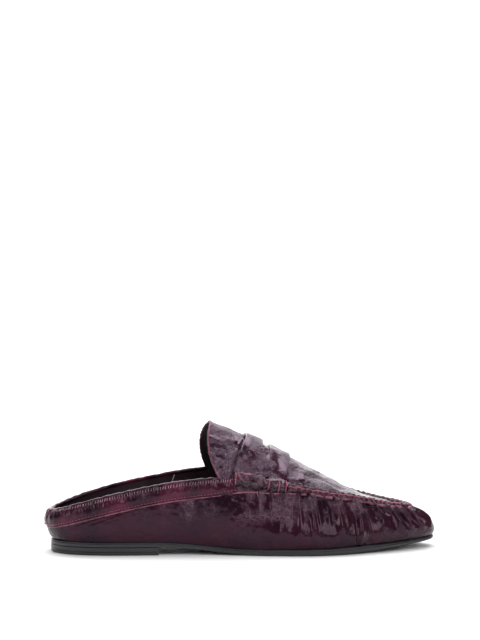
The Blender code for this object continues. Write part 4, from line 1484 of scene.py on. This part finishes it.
@dataclass
class Piping:
    """Raised wine piping with its stitches: under the binding, the rolls and the apron seam."""

    form: Form
    width: float = 0.0010
    proud: float = 0.00045
    pitch: float = 0.0022
    points: int = 1201
    step: float = 0.0006
    sink: float = 0.0004
    front: Span = (0.60, 0.66)
    front_swell: float = 1.1
    rumple: Wave = Wave(0.20, 0.005, 41)
    wander: Wave = Wave(0.00030, 0.0045, 42)
    end_reach: float = 0.01
    stitch_rise: float = 0.0017
    stitch_half: float = 0.42
    stitch_lift: float = 0.0013
    stitch_bow: float = 0.0003
    stitch_radius: float = 0.00025
    stitch_end: float = 0.47
    depths: ClassVar[tuple[Span, ...]] = (
        (0.00, 0.0116), (0.40, 0.0114), (0.455, 0.0098), (0.50, 0.0076), (0.56, 0.0060),
        (0.605, 0.0046), (0.66, 0.0031), (0.80, 0.0029), (0.94, 0.0029))

    def line(self, offset: float) -> tuple[Array, Array, Array, Array]:
        """Path round the wall at the table's depth below the top edge.

        Args:
            offset: Extra depth in metres.

        Returns:
            Points, outward directions, upward directions and run along the path.
        """
        places = np.linspace(0.0, self.form.period, self.points)
        depth = read_table(self.depths, self.form.share(places))[:, None]
        arcs = self.form.ribs(places)
        grid = arcs.at(arcs.length - depth - offset - np.array([[self.step, 0.0, -self.step]]))
        ways = surface_normals(grid)[:, 1]
        ways[0] = ways[-1] = unit(ways[0] + ways[-1])
        path = grid[:, 1]
        return path, ways, unit(grid[:, 2] - grid[:, 0]), run_along(path)

    def build(self, piping: Material, thread: Material) -> None:
        """Build the piping as a low half round, and one row of stitches above it.

        Args:
            piping: Finish of the piping.
            thread: Finish of the stitches.
        """
        places = np.linspace(0.0, self.form.period, self.points)
        path, out, up, run = self.line(0.0)
        turn = ring_turns(10)
        ends = smooth_step(0.0, self.end_reach, np.minimum(run, run[-1] - run))
        front = smooth_step(*self.front, self.form.share(places))
        swell = (1.0 + ends * self.rumple.at(run)) * (1.0 + self.front_swell * front)
        path = path + up * (front * ends * self.wander.at(run))[:, None]
        reach = 0.5 * self.width * np.cos(turn) * swell[:, None]
        rise = np.where(np.sin(turn) > 0.0, self.proud, self.sink) * np.sin(turn)
        points = path[:, None] + up[:, None] * reach[..., None] \
            + out[:, None] * (rise * swell[:, None])[..., None]
        uv = grid_uv(run, np.linspace(0.0, 1.0, len(turn) + 1)[:, None])
        sheet = Sheet.from_grid(points.transpose(1, 0, 2), uv)
        make_piece("seam_piping", sheet, piping, "moc_seam", weld=True)
        path, out, up, run = self.line(-self.stitch_rise)
        middles = even_steps(run, self.pitch)
        middles = middles[self.form.share(np.interp(middles, run, places)) < self.stitch_end]
        spread = np.linspace(-self.stitch_half, self.stitch_half, 4) * self.pitch
        spots = middles[:, None] + spread
        lift = self.stitch_lift + np.array([-0.1, 1.0, 1.0, -0.1]) * self.stitch_bow
        threads = read_points(path, run, spots) + read_points(out, run, spots) * lift[:, None]
        sheet = stitches(threads, read_points(up, run, spots), self.stitch_radius)
        make_piece("binding_stitches", sheet, thread, "collar_binding", weld=True)


def stitches(paths: Array, side: Array, radius: float, around: int = 6) -> Sheet:
    """Short threads as thin ropes: each point of a path gets a ring, and the ends close.

    Args:
        paths: Points of each thread, threads by points by 3.
        side: A direction across each path, in the same layout.
        radius: Radius of the thread.
        around: Points round the thread.

    Returns:
        One sheet with all the threads.
    """
    count, length = paths.shape[:2]
    along = unit(np.gradient(paths, axis=1))
    out = unit(np.cross(along, side))
    across = np.cross(out, along)
    turn = ring_turns(around)
    fade = np.ones(length)
    fade[0] = fade[-1] = 0.0
    ring = across[:, :, None] * np.cos(turn)[:, None] + out[:, :, None] * np.sin(turn)[:, None]
    points = paths[:, :, None] + ring * (radius * fade)[None, :, None, None]
    number = np.arange(length * around).reshape(length, around)
    number = np.concatenate([number, number[:, :1]], axis=1)
    quads = np.stack([number[:-1, :-1], number[:-1, 1:], number[1:, 1:], number[1:, :-1]], -1)
    quads = quads.reshape(-1, 4)
    faces = (quads[None] + (np.arange(count) * length * around)[:, None, None]).reshape(-1, 4)
    uv = np.zeros((len(faces), 4, 2))
    return Sheet(points.reshape(-1, 3), faces, uv)


@dataclass
class SeamLine:
    """The line where side wall and apron meet, with a frame that faces out and up."""

    form: Form
    wall_depths: ClassVar[Array] = np.array([[0.0016, 0.0008, 0.0]])
    apron_depth: ClassVar[float] = 0.003

    def frame(self, places: Array) -> tuple[Array, Array, Array]:
        """Points of the line with outward and upward directions.

        The outward direction is the mean of the wall's and the apron's normals, and the upward
        one lies across the line, towards the apron.

        Args:
            places: Places on the loop.

        Returns:
            Points, outward directions and upward directions.
        """
        arcs = self.form.ribs(places)
        grid = arcs.at(arcs.length - self.wall_depths)
        facing = np.sign(places[-1] - places[0])
        wall_way = surface_normals(grid)[:, -1] * facing
        point = grid[:, -1]
        along = unit(np.gradient(point, axis=0))
        crests = self.form.last.crests
        row = np.interp(self.form.share(places), [c.top_x for c in crests], np.arange(len(crests)))
        outer, inner = (ribs.at(np.full((len(row), 1), self.apron_depth))[:, 0]
                        for ribs in self.form.apron_ribs(row))
        on_outer = np.mod(places, self.form.period) < self.form.tip
        inwards = np.where(on_outer[:, None], outer, inner) - point
        out = wall_way + unit(np.cross(along, inwards) * facing)
        out = unit(out - along * np.sum(out * along, axis=1, keepdims=True))
        up = np.cross(out, along)
        up *= np.sign(np.sum(up * inwards, axis=1, keepdims=True))
        return point, out, up


@dataclass
class MocSeam:
    """Raised apron seam: a crumpled lip, a raw wine-red edge along it and slanted stitches."""

    form: Form
    half: float = 0.0028
    proud: float = 0.0019
    pitch: float = 0.0036
    thread: float = 0.00024
    raw: float = 0.00055
    start_share: float = 0.601
    points: int = 760
    sink: float = 0.0007
    lip_place: float = 0.56
    lip_width: float = 0.26
    lip_share: float = 0.38
    lip_box: float = 0.55
    raw_place: Span = (0.18, 0.80)
    lump: float = 0.16
    lip_rumple: Wave = Wave(0.10, 0.004, 51)
    lip_sway: Wave = Wave(0.08, 0.007, 52)
    raw_wander: Wave = Wave(0.00028, 0.0042, 53)
    raw_rumple: Wave = Wave(0.25, 0.0028, 54)
    stitch_reach: Span = (-1.0, -0.15)
    stitch_slant: float = 0.0016
    stitch_arch: ClassVar[tuple[Span, ...]] = (
        (-1.0, 0.30), (-0.8, 0.85), (-0.45, 0.92), (-0.15, 1.0))

    def build(self, leather: Material, thread: Material) -> None:
        """Build the lips, the raw edge and the stitches that slant over it.

        The outline's height is a rounded box with two bells on it, for the lips, and swells
        between the stitches.

        Args:
            leather: Finish of the lips.
            thread: Finish of the raw edge and the stitches.
        """
        form = self.form
        start = float(form.place(self.start_share))
        places = np.linspace(start, form.period - start, self.points)
        path, out, up = SeamLine(form).frame(places)
        run = run_along(path)
        turn = ring_turns(36)
        across, over = np.cos(turn), np.sin(turn)
        lips = bell(across - self.lip_place, self.lip_width) + bell(across + self.lip_place, self.lip_width)
        phase = 2.0 * math.pi * run[:, None] / self.pitch
        rumple = self.lip_rumple.at(run[:, None], across * 0.002)
        lumps = 1.0 + self.lump * lips * np.cos(phase) + rumple
        box = np.abs(over) ** self.lip_box * (1.0 - self.lip_share + self.lip_share * lips)
        rise = np.where(over > 0.0, self.proud * box * lumps, self.sink * over)
        reach = self.half * across * (1.0 + self.lip_sway.at(run[:, None]))
        make_piece("moc_seam_lips", Sheet.rope(path, up, out, reach, rise), leather, "moc_seam",
                   weld=True)
        thick = self.raw * (1.0 + self.raw_rumple.at(run))[:, None]
        turn = turn[::3]
        edge = path - up * (self.raw_place[0] * self.half - self.raw_wander.at(run))[:, None] \
            + out * (self.raw_place[1] * self.proud)
        sheet = Sheet.rope(edge, up, out, thick * np.cos(turn), thick * np.sin(turn))
        make_piece("moc_seam_raw_edge", sheet, thread, "moc_seam", weld=True)
        side = np.linspace(*self.stitch_reach, 6)
        spots = even_steps(run, self.pitch)[:, None] + self.stitch_slant * (side + 0.6)
        arch = self.proud * np.interp(side, *zip(*self.stitch_arch))
        paths = read_points(path, run, spots) \
            + read_points(up, run, spots) * (side * self.half)[None, :, None] \
            + read_points(out, run, spots) * arch[None, :, None]
        along = read_points(np.gradient(path, axis=0), run, spots)
        make_piece("moc_seam_stitches", stitches(paths, along, self.thread), thread, "moc_seam",
                   weld=True)


@dataclass
class SideRoll:
    """Wrapped roll over a strap end: a long knot, a pinch and a shorter part bound with cord."""

    form: Form
    side: Side
    half: float = 0.0048
    proud: float = 0.0042
    swells: ClassVar[tuple[Span, ...]] = (
        (0.00, 0.62), (0.06, 0.95), (0.30, 1.02), (0.50, 1.00), (0.62, 0.78), (0.74, 1.00),
        (0.92, 0.98), (1.00, 0.70))
    wraps: ClassVar[tuple[float, ...]] = (0.035, 0.655, 0.84, 0.975)
    rows: Span = (1.06, 3.0)
    points: int = 190
    knot_end: Span = (0.55, 0.63)
    strand: float = 0.00100
    strand_sink: float = 0.00060
    winds: float = 2.6
    hole: float = 0.0036
    hole_place: Span = (0.36, 1.65)
    hole_size: Span = (0.075, 0.46)
    groove: float = 0.0006
    groove_place: Span = (2.35, 0.16)
    rough: Wave = Wave(0.00012, 0.003, 61)
    sink: float = 0.0008
    boxy: float = 0.8
    wrap_points: int = 15
    wrap_radius: float = 0.00042
    cord_end: Span = (0.17, 0.25)
    cord_place: Span = (0.62, 0.86)
    cord_radius: float = 0.00085
    thread_sides: int = 8

    def build(self, leather: Material, cord: Material) -> None:
        """Build the roll, the cord's end that lies on its knot and the cord wrapped round it.

        The outline is an ellipse whose size follows the table of swells. Slanted grooves wind
        round the knot, and a small hole shows where its strand goes in.

        Args:
            leather: Finish of the roll.
            cord: Finish of the wraps.
        """
        form, name = self.form, "side_roll_" + self.side.name.lower()
        crests = form.last.crests
        shares = even_curve(np.arange(len(crests)), np.array([c.top_x for c in crests]),
                            np.linspace(*self.rows, self.points))[:, 0]
        path, out, up = SeamLine(form).frame(form.place(shares, self.side))
        run = run_along(path)
        share = run / run[-1]
        swell = read_table(self.swells, share)[:, None]
        turn = ring_turns(56)
        knot = (1.0 - smooth_step(*self.knot_end, share))[:, None]
        wind = np.sin(2.0 * math.pi * (share[:, None] * self.winds - turn / math.pi * 0.9))
        strand = knot * (self.strand * np.abs(wind) ** 0.6 - self.strand_sink)
        hole = self.hole * bell(share[:, None] - self.hole_place[0], self.hole_size[0]) \
            * bell(turn - self.hole_place[1], self.hole_size[1])
        groove = self.groove * (1.0 - knot) * bell(turn - self.groove_place[0], self.groove_place[1])
        lift = strand - hole - groove + self.rough.at(run[:, None], turn * 0.004)
        reach = (self.half * swell + lift) * np.cos(turn)
        arch = np.abs(np.sin(turn)) ** self.boxy
        rise = np.where(np.sin(turn) > 0.0, (self.proud * swell + lift) * arch, self.sink * np.sin(turn))
        make_piece(name + "_leather", Sheet.rope(path, up, out, reach, rise), leather, name, weld=True)
        spot = np.searchsorted(share, np.linspace(*self.cord_end, self.wrap_points))
        crown = path[spot] + up[spot] * (self.cord_place[0] * self.half) \
            + out[spot] * (self.cord_place[1] * self.proud)
        sheet = stitches(crown[None], up[spot][None], self.cord_radius, self.thread_sides)
        make_piece(name + "_cord_end", sheet, cord, name, weld=True)
        stop = np.searchsorted(share, self.wraps)
        around = np.linspace(-0.1, math.pi + 0.1, self.wrap_points)
        size = swell[stop] * 1.02
        arch = np.sign(np.sin(around)) * np.abs(np.sin(around)) ** self.boxy
        ring = path[stop][:, None] \
            + up[stop][:, None] * ((self.half * size + 0.0001) * np.cos(around))[..., None] \
            + out[stop][:, None] * ((self.proud * size + 0.0002) * arch)[..., None]
        along = np.gradient(path, axis=0)[stop][:, None] * np.ones((1, self.wrap_points, 1))
        sheet = stitches(ring, along, self.wrap_radius, self.thread_sides)
        make_piece(name + "_wraps", sheet, cord, name, weld=True)


@dataclass
class PennyStrap:
    """Strap over the apron, with rounded edges and its slot across the crest."""

    form: Form
    gauge: float = 0.0017
    slot_width: float = 0.0047
    slot_half: float = 0.0120
    start: float = 0.0044
    round: float = 0.0006
    edge_gauge: float = 0.28
    wave: Wave = Wave(0.00012, 0.010, 71)
    crest_rows: Span = (1.0, 3.0)
    rows_beside: int = 46
    rows_across: int = 9

    def build(self, leather: Material) -> None:
        """Build the strap.

        The strap is the apron's skin lifted by its gauge, which falls to a thin edge along a
        quarter circle near each free edge and round the slot.

        Args:
            leather: Finish of the strap.
        """
        last = self.form.last
        back, front = self.crest_rows
        dense = np.linspace(back, front, 400)
        crest_x = even_curve(np.arange(len(last.crests)), np.array(last.crests), dense)[:, 1]
        middle = last.crests[2].crest_x
        ends = [np.interp(middle + way * 0.5 * self.slot_width / last.length, crest_x, dense)
                for way in (-1.0, 1.0)]
        rows = np.concatenate([np.linspace(back, ends[0], self.rows_beside),
                               np.linspace(*ends, self.rows_across)[1:],
                               np.linspace(ends[1], front, self.rows_beside)[1:]])
        outer, inner = self.form.apron_ribs(rows)
        halves, far = [], []
        for arcs in (outer, inner):
            slot_at = arcs.length - self.slot_half
            side = self.start + (slot_at - self.start) * np.linspace(0.0, 1.0, 44)
            top = slot_at + self.slot_half * np.linspace(0.0, 1.0, 22)[1:]
            reach = np.concatenate([side, top], axis=1)
            halves.append(arcs.at(reach))
            far.append(arcs.length - reach)
        skin = np.concatenate([halves[0], halves[1][:, -2::-1]], axis=1)
        from_crest = np.concatenate([far[0], far[1][:, -2::-1]], axis=1)
        normals = surface_normals(skin)
        run = np.concatenate([np.zeros((1, skin.shape[1])),
                              np.cumsum(np.linalg.norm(np.diff(skin, axis=0), axis=2), axis=0)])
        in_slot = (rows[:, None] >= ends[0] - NEAR) & (rows[:, None] <= ends[1] + NEAR)
        slot_run = [run[np.searchsorted(rows, end - NEAR)] for end in ends]
        off_slot = np.hypot(np.maximum(np.maximum(slot_run[0] - run, run - slot_run[1]), 0.0),
                            np.maximum(from_crest - self.slot_half, 0.0))
        edge = np.minimum(np.minimum(run, run[-1:] - run), off_slot)
        curve = quarter_round(edge, self.round)
        lift = last.clearance + self.gauge * (self.edge_gauge + (1.0 - self.edge_gauge) * curve) \
            + self.wave.at(skin[..., 0], skin[..., 1])
        face = skin + normals * lift[..., None]
        base = skin + normals * last.clearance
        hole = in_slot & (from_crest <= self.slot_half + NEAR)
        keep = ~(hole[:-1, :-1] & hole[1:, :-1] & hole[1:, 1:] & hole[:-1, 1:])
        uv = grid_uv(run, np.linspace(0.0, 1.0, skin.shape[1]))
        make_piece("strap_leather", Sheet.from_grid(face, uv, keep=keep).thickened(base), leather,
                   "penny_strap")


@dataclass
class SoleUnit:
    """Insole, outsole and heel block, all from the foot edge."""

    form: Form
    ledge: float = 0.0004
    rounding: float = 0.0010
    outsole_rounding: float = 0.0004
    insole_gauge: float = 0.0022
    fit: float = 0.0006
    half_points: int = 170
    heel_points: int = 90
    corner_points: int = 5
    crisp: float = 35.0
    groove_place: float = 0.62
    groove_half: float = 0.0003
    groove_depth: float = 0.00025
    top_drop: float = 0.0007
    top_inset: float = 0.0009
    lift_line: ClassVar[tuple[Span, ...]] = ((0.0, 0.40), (0.28, 0.45), (0.0, 0.50), (0.0, 1.0))
    insole_edge: ClassVar[tuple[Span, ...]] = (
        (0.0, 0.0), (0.55, 0.0), (0.82, 0.0004), (1.0, 0.0012))

    def loop(self, places: Array, inset: float) -> Array:
        """Foot edge moved inwards by inset, lying on the floor."""
        flat = self.form.curve(places)[:, :3] * [1.0, 1.0, 0.0]
        return flat - self.form.outward(places, 0) * inset

    def corner(self, radius: float) -> list[Span]:
        """Inset and height of the points of a quarter circle, from its foot up to its side."""
        return [(radius * (1.0 - math.sin(turn)), radius * (1.0 - math.cos(turn)))
                for turn in np.linspace(0.0, 0.5 * math.pi, self.corner_points)]

    @staticmethod
    def plate(loops: list[Array], half: int) -> Sheet:
        """Close stacked loops with a strip of quads across each end.

        Args:
            loops: Loops from the lowest up, each from the heel's back round and back.
            half: Number of the last point on the outer side, which faces the next one or itself.

        Returns:
            The closed sheet, whose doubled points are to be welded.
        """
        stack = np.stack(loops, axis=1)
        count = len(stack)
        uv = grid_uv(np.linspace(0.0, 0.6, count + 1)[:, None],
                     np.linspace(0.0, 0.01, len(loops)))
        sheet = Sheet.from_grid(stack, uv)
        share = np.linspace(0.0, 1.0, 9)[None, :, None]
        mate = -np.arange(half + 1) % count
        for level, flip in ((0, False), (-1, True)):
            near, away = stack[: half + 1, level][:, None], stack[mate, level][:, None]
            cap = near * (1.0 - share) + away * share
            cap = cap[:, ::-1] if not flip else cap
            sheet = sheet.joined(Sheet.from_grid(cap, cap[..., :2]))
        return sheet

    def build(self, rubber: Material, sock: Material) -> None:
        """Build the three pieces.

        Args:
            rubber: Finish of the outsole and heel.
            sock: Finish of the insole.
        """
        form, last = self.form, self.form.last
        half = self.half_points
        places = np.concatenate([np.linspace(0.0, form.tip, half + 1),
                                 np.linspace(form.tip, form.period, half + 1)[1:-1]])
        x = form.curve(places)[:, 0]
        under, top = last.underside(x), last.sole_top(x)
        groove = under + self.groove_place * (top - under)
        levels = [(inset, under + height) for inset, height in self.corner(self.outsole_rounding)]
        levels += [(0.0, groove - self.groove_half), (self.groove_depth, groove),
                   (0.0, groove + self.groove_half), (0.0, top - self.top_drop), (self.top_inset, top)]
        loops = []
        for inset, height in levels:
            loops.append(self.loop(places, inset - self.ledge))
            loops[-1][:, 2] = height
        make_piece("outsole_rubber", self.plate(loops, half), rubber, "outsole", weld=True,
                   crisp=self.crisp)
        self.build_insole(sock, places, half)
        self.build_heel(rubber)

    def build_insole(self, sock: Material, places: Array, half: int) -> None:
        """Build the insole a constant gap inside the wall, with a soft upper edge."""
        last = self.form.last
        arcs = self.form.ribs(places)
        grid = arcs.at(np.array([[0.0, 0.003]]) * np.ones((len(places), 1)))
        normals = surface_normals(arcs.at(arcs.length * np.linspace(0.0, 0.2, 3)), ring=True)[:, :2]
        low, high = np.moveaxis(grid - normals * (last.wall + self.fit), 1, 0)
        low[:, 2] = grid[:, 0, 2]
        slope = (high - low)[:, :2] / (high - low)[:, 2:3]
        out = self.form.outward(places, 0)
        loops = []
        for rise, inset in self.insole_edge:
            lift = rise * self.insole_gauge
            loops.append(low + np.column_stack([slope * lift, np.full(len(low), lift)]) - out * inset)
        make_piece("insole_sock", self.plate(loops, half), sock, "insole", weld=True)

    def build_heel(self, rubber: Material) -> None:
        """Build the heel block: the foot edge behind the breast, cut off square, with a lift line."""
        form, last = self.form, self.form.last
        breast = last.along(last.breast_place)
        dense = np.linspace(0.0, form.tip, 3000)
        end = float(np.interp(breast, form.curve(dense)[:, 0], dense))
        count = self.heel_points
        half = np.linspace(0.0, end, count + 1)
        places = np.concatenate([half, form.period - half[:0:-1]])
        top = last.heel_height - last.clearance
        levels = self.corner(self.rounding)
        levels += [(share * self.rounding, place * top) for share, place in self.lift_line]
        loops = []
        for inset, height in levels:
            loop = self.loop(places, inset - self.ledge)
            loop[[count, count + 1], 0] = breast - inset
            loop[:, 2] = height
            loops.append(loop)
        make_piece("heel_block", self.plate(loops, count), rubber, "heel", weld=True,
                   crisp=self.crisp)


@dataclass(frozen=True)
class Studio:
    """Pale floor that sweeps up behind the shoe, soft lamps and the photograph's camera."""

    yaw: float = 4.0
    elevation: float = 7.0
    distance: float = 1.8
    metres_per_pixel: float = 0.00067
    target: Point = (0.093, 0.0, 0.040)
    pixel: Span = (240.8, 489.3)
    frame_size: tuple[int, int] = (480, 640)
    sensor: float = 36.0
    floor_x: Span = (-2.2, 2.4)
    floor_y: Span = (-1.6, 0.9)
    sweep: float = 0.8
    wall_top: float = 2.6
    surroundings: tuple[float, ...] = (0.9, 0.9, 0.92, 1.0)
    dimness: float = 0.18
    lamps: ClassVar[tuple[Lamp, ...]] = (
        Lamp("top_box", (0.15, 0.35, 1.45), (0.09, 0.0, 0.0), (1.5, 1.0), 22.0),
        Lamp("back_box", (0.1, 1.1, 1.3), (0.1, 1.7, 0.4), (2.6, 0.8), 22.0),
        Lamp("front_box", (0.95, -1.50, 0.97), (0.15, 0.0, 0.03), (1.5, 1.2), 17.0),
        Lamp("upper_front_box", (0.1, -0.95, 1.45), (0.1, 0.0, 0.03), (2.2, 0.5), 5.0),
        Lamp("crest_box", (0.15, 1.45, 1.15), (0.1, 0.0, 0.06), (1.8, 0.6), 7.0),
        Lamp("left_box", (-1.25, -0.95, 0.70), (0.1, 0.0, 0.03), (0.45, 0.9), 7.0),
        Lamp("right_box", (1.45, -0.95, 0.70), (0.1, 0.0, 0.03), (0.45, 0.9), 3.0))

    def build(self, effects: Effects) -> None:
        """Build floor, lamps, world and camera.

        Args:
            effects: Shared node groups.
        """
        bpy.context.scene.view_settings.view_transform = "Standard"
        self.build_floor(effects)
        self.build_lamps()
        self.build_camera()

    def build_floor(self, effects: Effects) -> None:
        """Build the sweep: flat in front, then a quarter circle up into a wall behind."""
        turn = np.linspace(0.0, 0.5 * math.pi, 16)
        bend = self.floor_y[1]
        y = np.concatenate([np.linspace(*self.floor_y, 8), bend + self.sweep * np.sin(turn[1:]),
                            [bend + self.sweep]])
        z = np.concatenate([np.zeros(8), self.sweep * (1.0 - np.cos(turn[1:])), [self.wall_top]])
        x = np.linspace(*self.floor_x, 9)[:, None]
        grid = np.stack(np.broadcast_arrays(x, y, z), axis=-1)
        sheet = Sheet.from_grid(grid, grid[..., :2])
        mesh = bpy.data.meshes.new("floor")
        mesh.from_pydata(sheet.points.tolist(), [], sheet.faces.tolist())
        mesh.shade_smooth()
        mesh.materials.append(SoftFinish("pale_floor", (0.86, 0.86, 0.86), (0.90, 0.90, 0.90), 0.75,
                                         300.0, 0.00005, 3.0).build(effects))
        floor = new_object("floor", mesh)

    def build_lamps(self) -> None:
        """Place the soft lamps and the dim surroundings."""
        for name, place, aim, size, power in self.lamps:
            lamp = bpy.data.lights.new(name, "AREA")
            lamp.shape, lamp.size, lamp.size_y, lamp.energy = "RECTANGLE", *size, power
            item = new_object(name, lamp)
            item.location = place
            away = np.array(place) - np.array(aim)
            item.rotation_euler = (math.atan2(math.hypot(away[0], away[1]), away[2]), 0.0,
                                   math.atan2(away[0], -away[1]))
        world = bpy.data.worlds.new("studio")
        bpy.context.scene.world = world
        world.use_nodes = True
        background = world.node_tree.nodes["Background"]
        background.inputs["Color"].default_value = self.surroundings
        background.inputs["Strength"].default_value = self.dimness

    def build_camera(self) -> None:
        """Place the camera: it looks at the point that lies in the middle of the photograph."""
        yaw, rise = math.radians(self.yaw), math.radians(self.elevation)
        ahead = np.array([math.sin(yaw) * math.cos(rise), math.cos(yaw) * math.cos(rise),
                          -math.sin(rise)])
        right = np.array([math.cos(yaw), -math.sin(yaw), 0.0])
        up = np.cross(right, ahead)
        place = np.array(self.target) - ahead * self.distance
        wide, tall = self.frame_size
        aim = np.array(self.target) + self.metres_per_pixel * (
            up * (self.pixel[1] - 0.5 * tall) - right * (self.pixel[0] - 0.5 * wide))
        look = unit(aim - place)
        data = bpy.data.cameras.new("camera")
        data.sensor_width = self.sensor
        data.lens = self.sensor * self.distance / (tall * self.metres_per_pixel)
        data.clip_end = 20.0
        camera = new_object("camera", data)
        camera.location = place
        camera.rotation_euler = (math.acos(-look[2]), 0.0, math.atan2(-look[0], look[1]))
        bpy.context.scene.camera = camera


def main() -> None:
    """Build the shoe from its finishes and sub-assemblies, then the studio."""
    logging.basicConfig(level=logging.INFO, format="%(name)s %(message)s")
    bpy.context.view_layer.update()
    effects = Effects()
    wine = PatentLeather("wine_patent", line=(0.012, 0.003, 0.006), gloss=0.63, patchy=0.38,
                         line_share=0.6, crinkle_depth=0.00030, roughness=0.15, grain=0.26,
                         tint=(1.0, 0.70, 0.96)).build(effects)
    quarter = PatentLeather("wine_patent_quarter", rich=(0.022, 0.0036, 0.0092),
                            line=(0.150, 0.085, 0.120), smooth_below=0.018, smooth_behind=0.022,
                            gloss=0.25, crinkle_depth=0.00036, roughness=0.17,
                            tint=(1.0, 0.74, 0.94)).build(effects)
    band = PatentLeather("wine_binding", rich=(0.065, 0.009, 0.024), crinkle_scale=260.0,
                         crinkle_depth=0.00012, line_share=0.1, gloss=0.25).build(effects)
    # The gather ridges' pale colour is partly a lighter thread and partly painted highlight on the band's
    # ticks.
    gather = SoftFinish("gather_ridge_tone_and_highlight", (0.15, 0.065, 0.095), (0.30, 0.17, 0.22), 0.4).build(effects)
    lips = PatentLeather("wine_seam_lips", rich=(0.060, 0.024, 0.034), grain=0.6).build(effects)
    # The roll's dark edge colour along UV row 0.40 is painted shade on its lower flank, where shade falls.
    roll = PatentLeather("wine_roll", rich=(0.045, 0.014, 0.022), gloss=0.42, patchy=0.6,
                         edge=(0.004, 0.002, 0.003), edge_and_shade_rows=(0.40,), edge_width=0.09).build(effects)
    raw_edge = SoftFinish("raw_edge", (0.090, 0.016, 0.036), (0.190, 0.055, 0.090), 0.42).build(effects)
    thread = SoftFinish("wine_thread", (0.150, 0.014, 0.045), (0.270, 0.040, 0.095), 0.4).build(effects)
    pale_thread = SoftFinish("pale_thread", (0.30, 0.25, 0.28), (0.45, 0.38, 0.42), 0.5).build(effects)
    lining = SoftFinish("black_lining", (0.0065, 0.0055, 0.0070), (0.0100, 0.0080, 0.0100), 0.62,
                        1300.0, 0.00010).build(effects)
    sock = SoftFinish("dark_quarter_lining", (0.0190, 0.0085, 0.0125), (0.0260, 0.0120, 0.0170), 0.45,
                      900.0, 0.00012).build(effects)
    rubber = SoftFinish("black_sole", (0.0115, 0.0112, 0.0140), (0.0170, 0.0165, 0.0200), 0.42,
                        700.0, 0.00008).build(effects)
    form = Form(Last())
    wall = SideWall(form)
    wall.build(quarter, sock)
    wall.build_lining_seam(pale_thread)
    Apron(form).build(wine, lining, raw_edge)
    CollarBinding(form).build(band, gather)
    Piping(form).build(raw_edge, thread)
    MocSeam(form).build(lips, thread)
    PennyStrap(form).build(wine)
    for side in Side:
        SideRoll(form, side).build(roll, thread)
    SoleUnit(form).build(rubber, lining)
    Studio().build(effects)


if __name__ == "__main__":
    main()
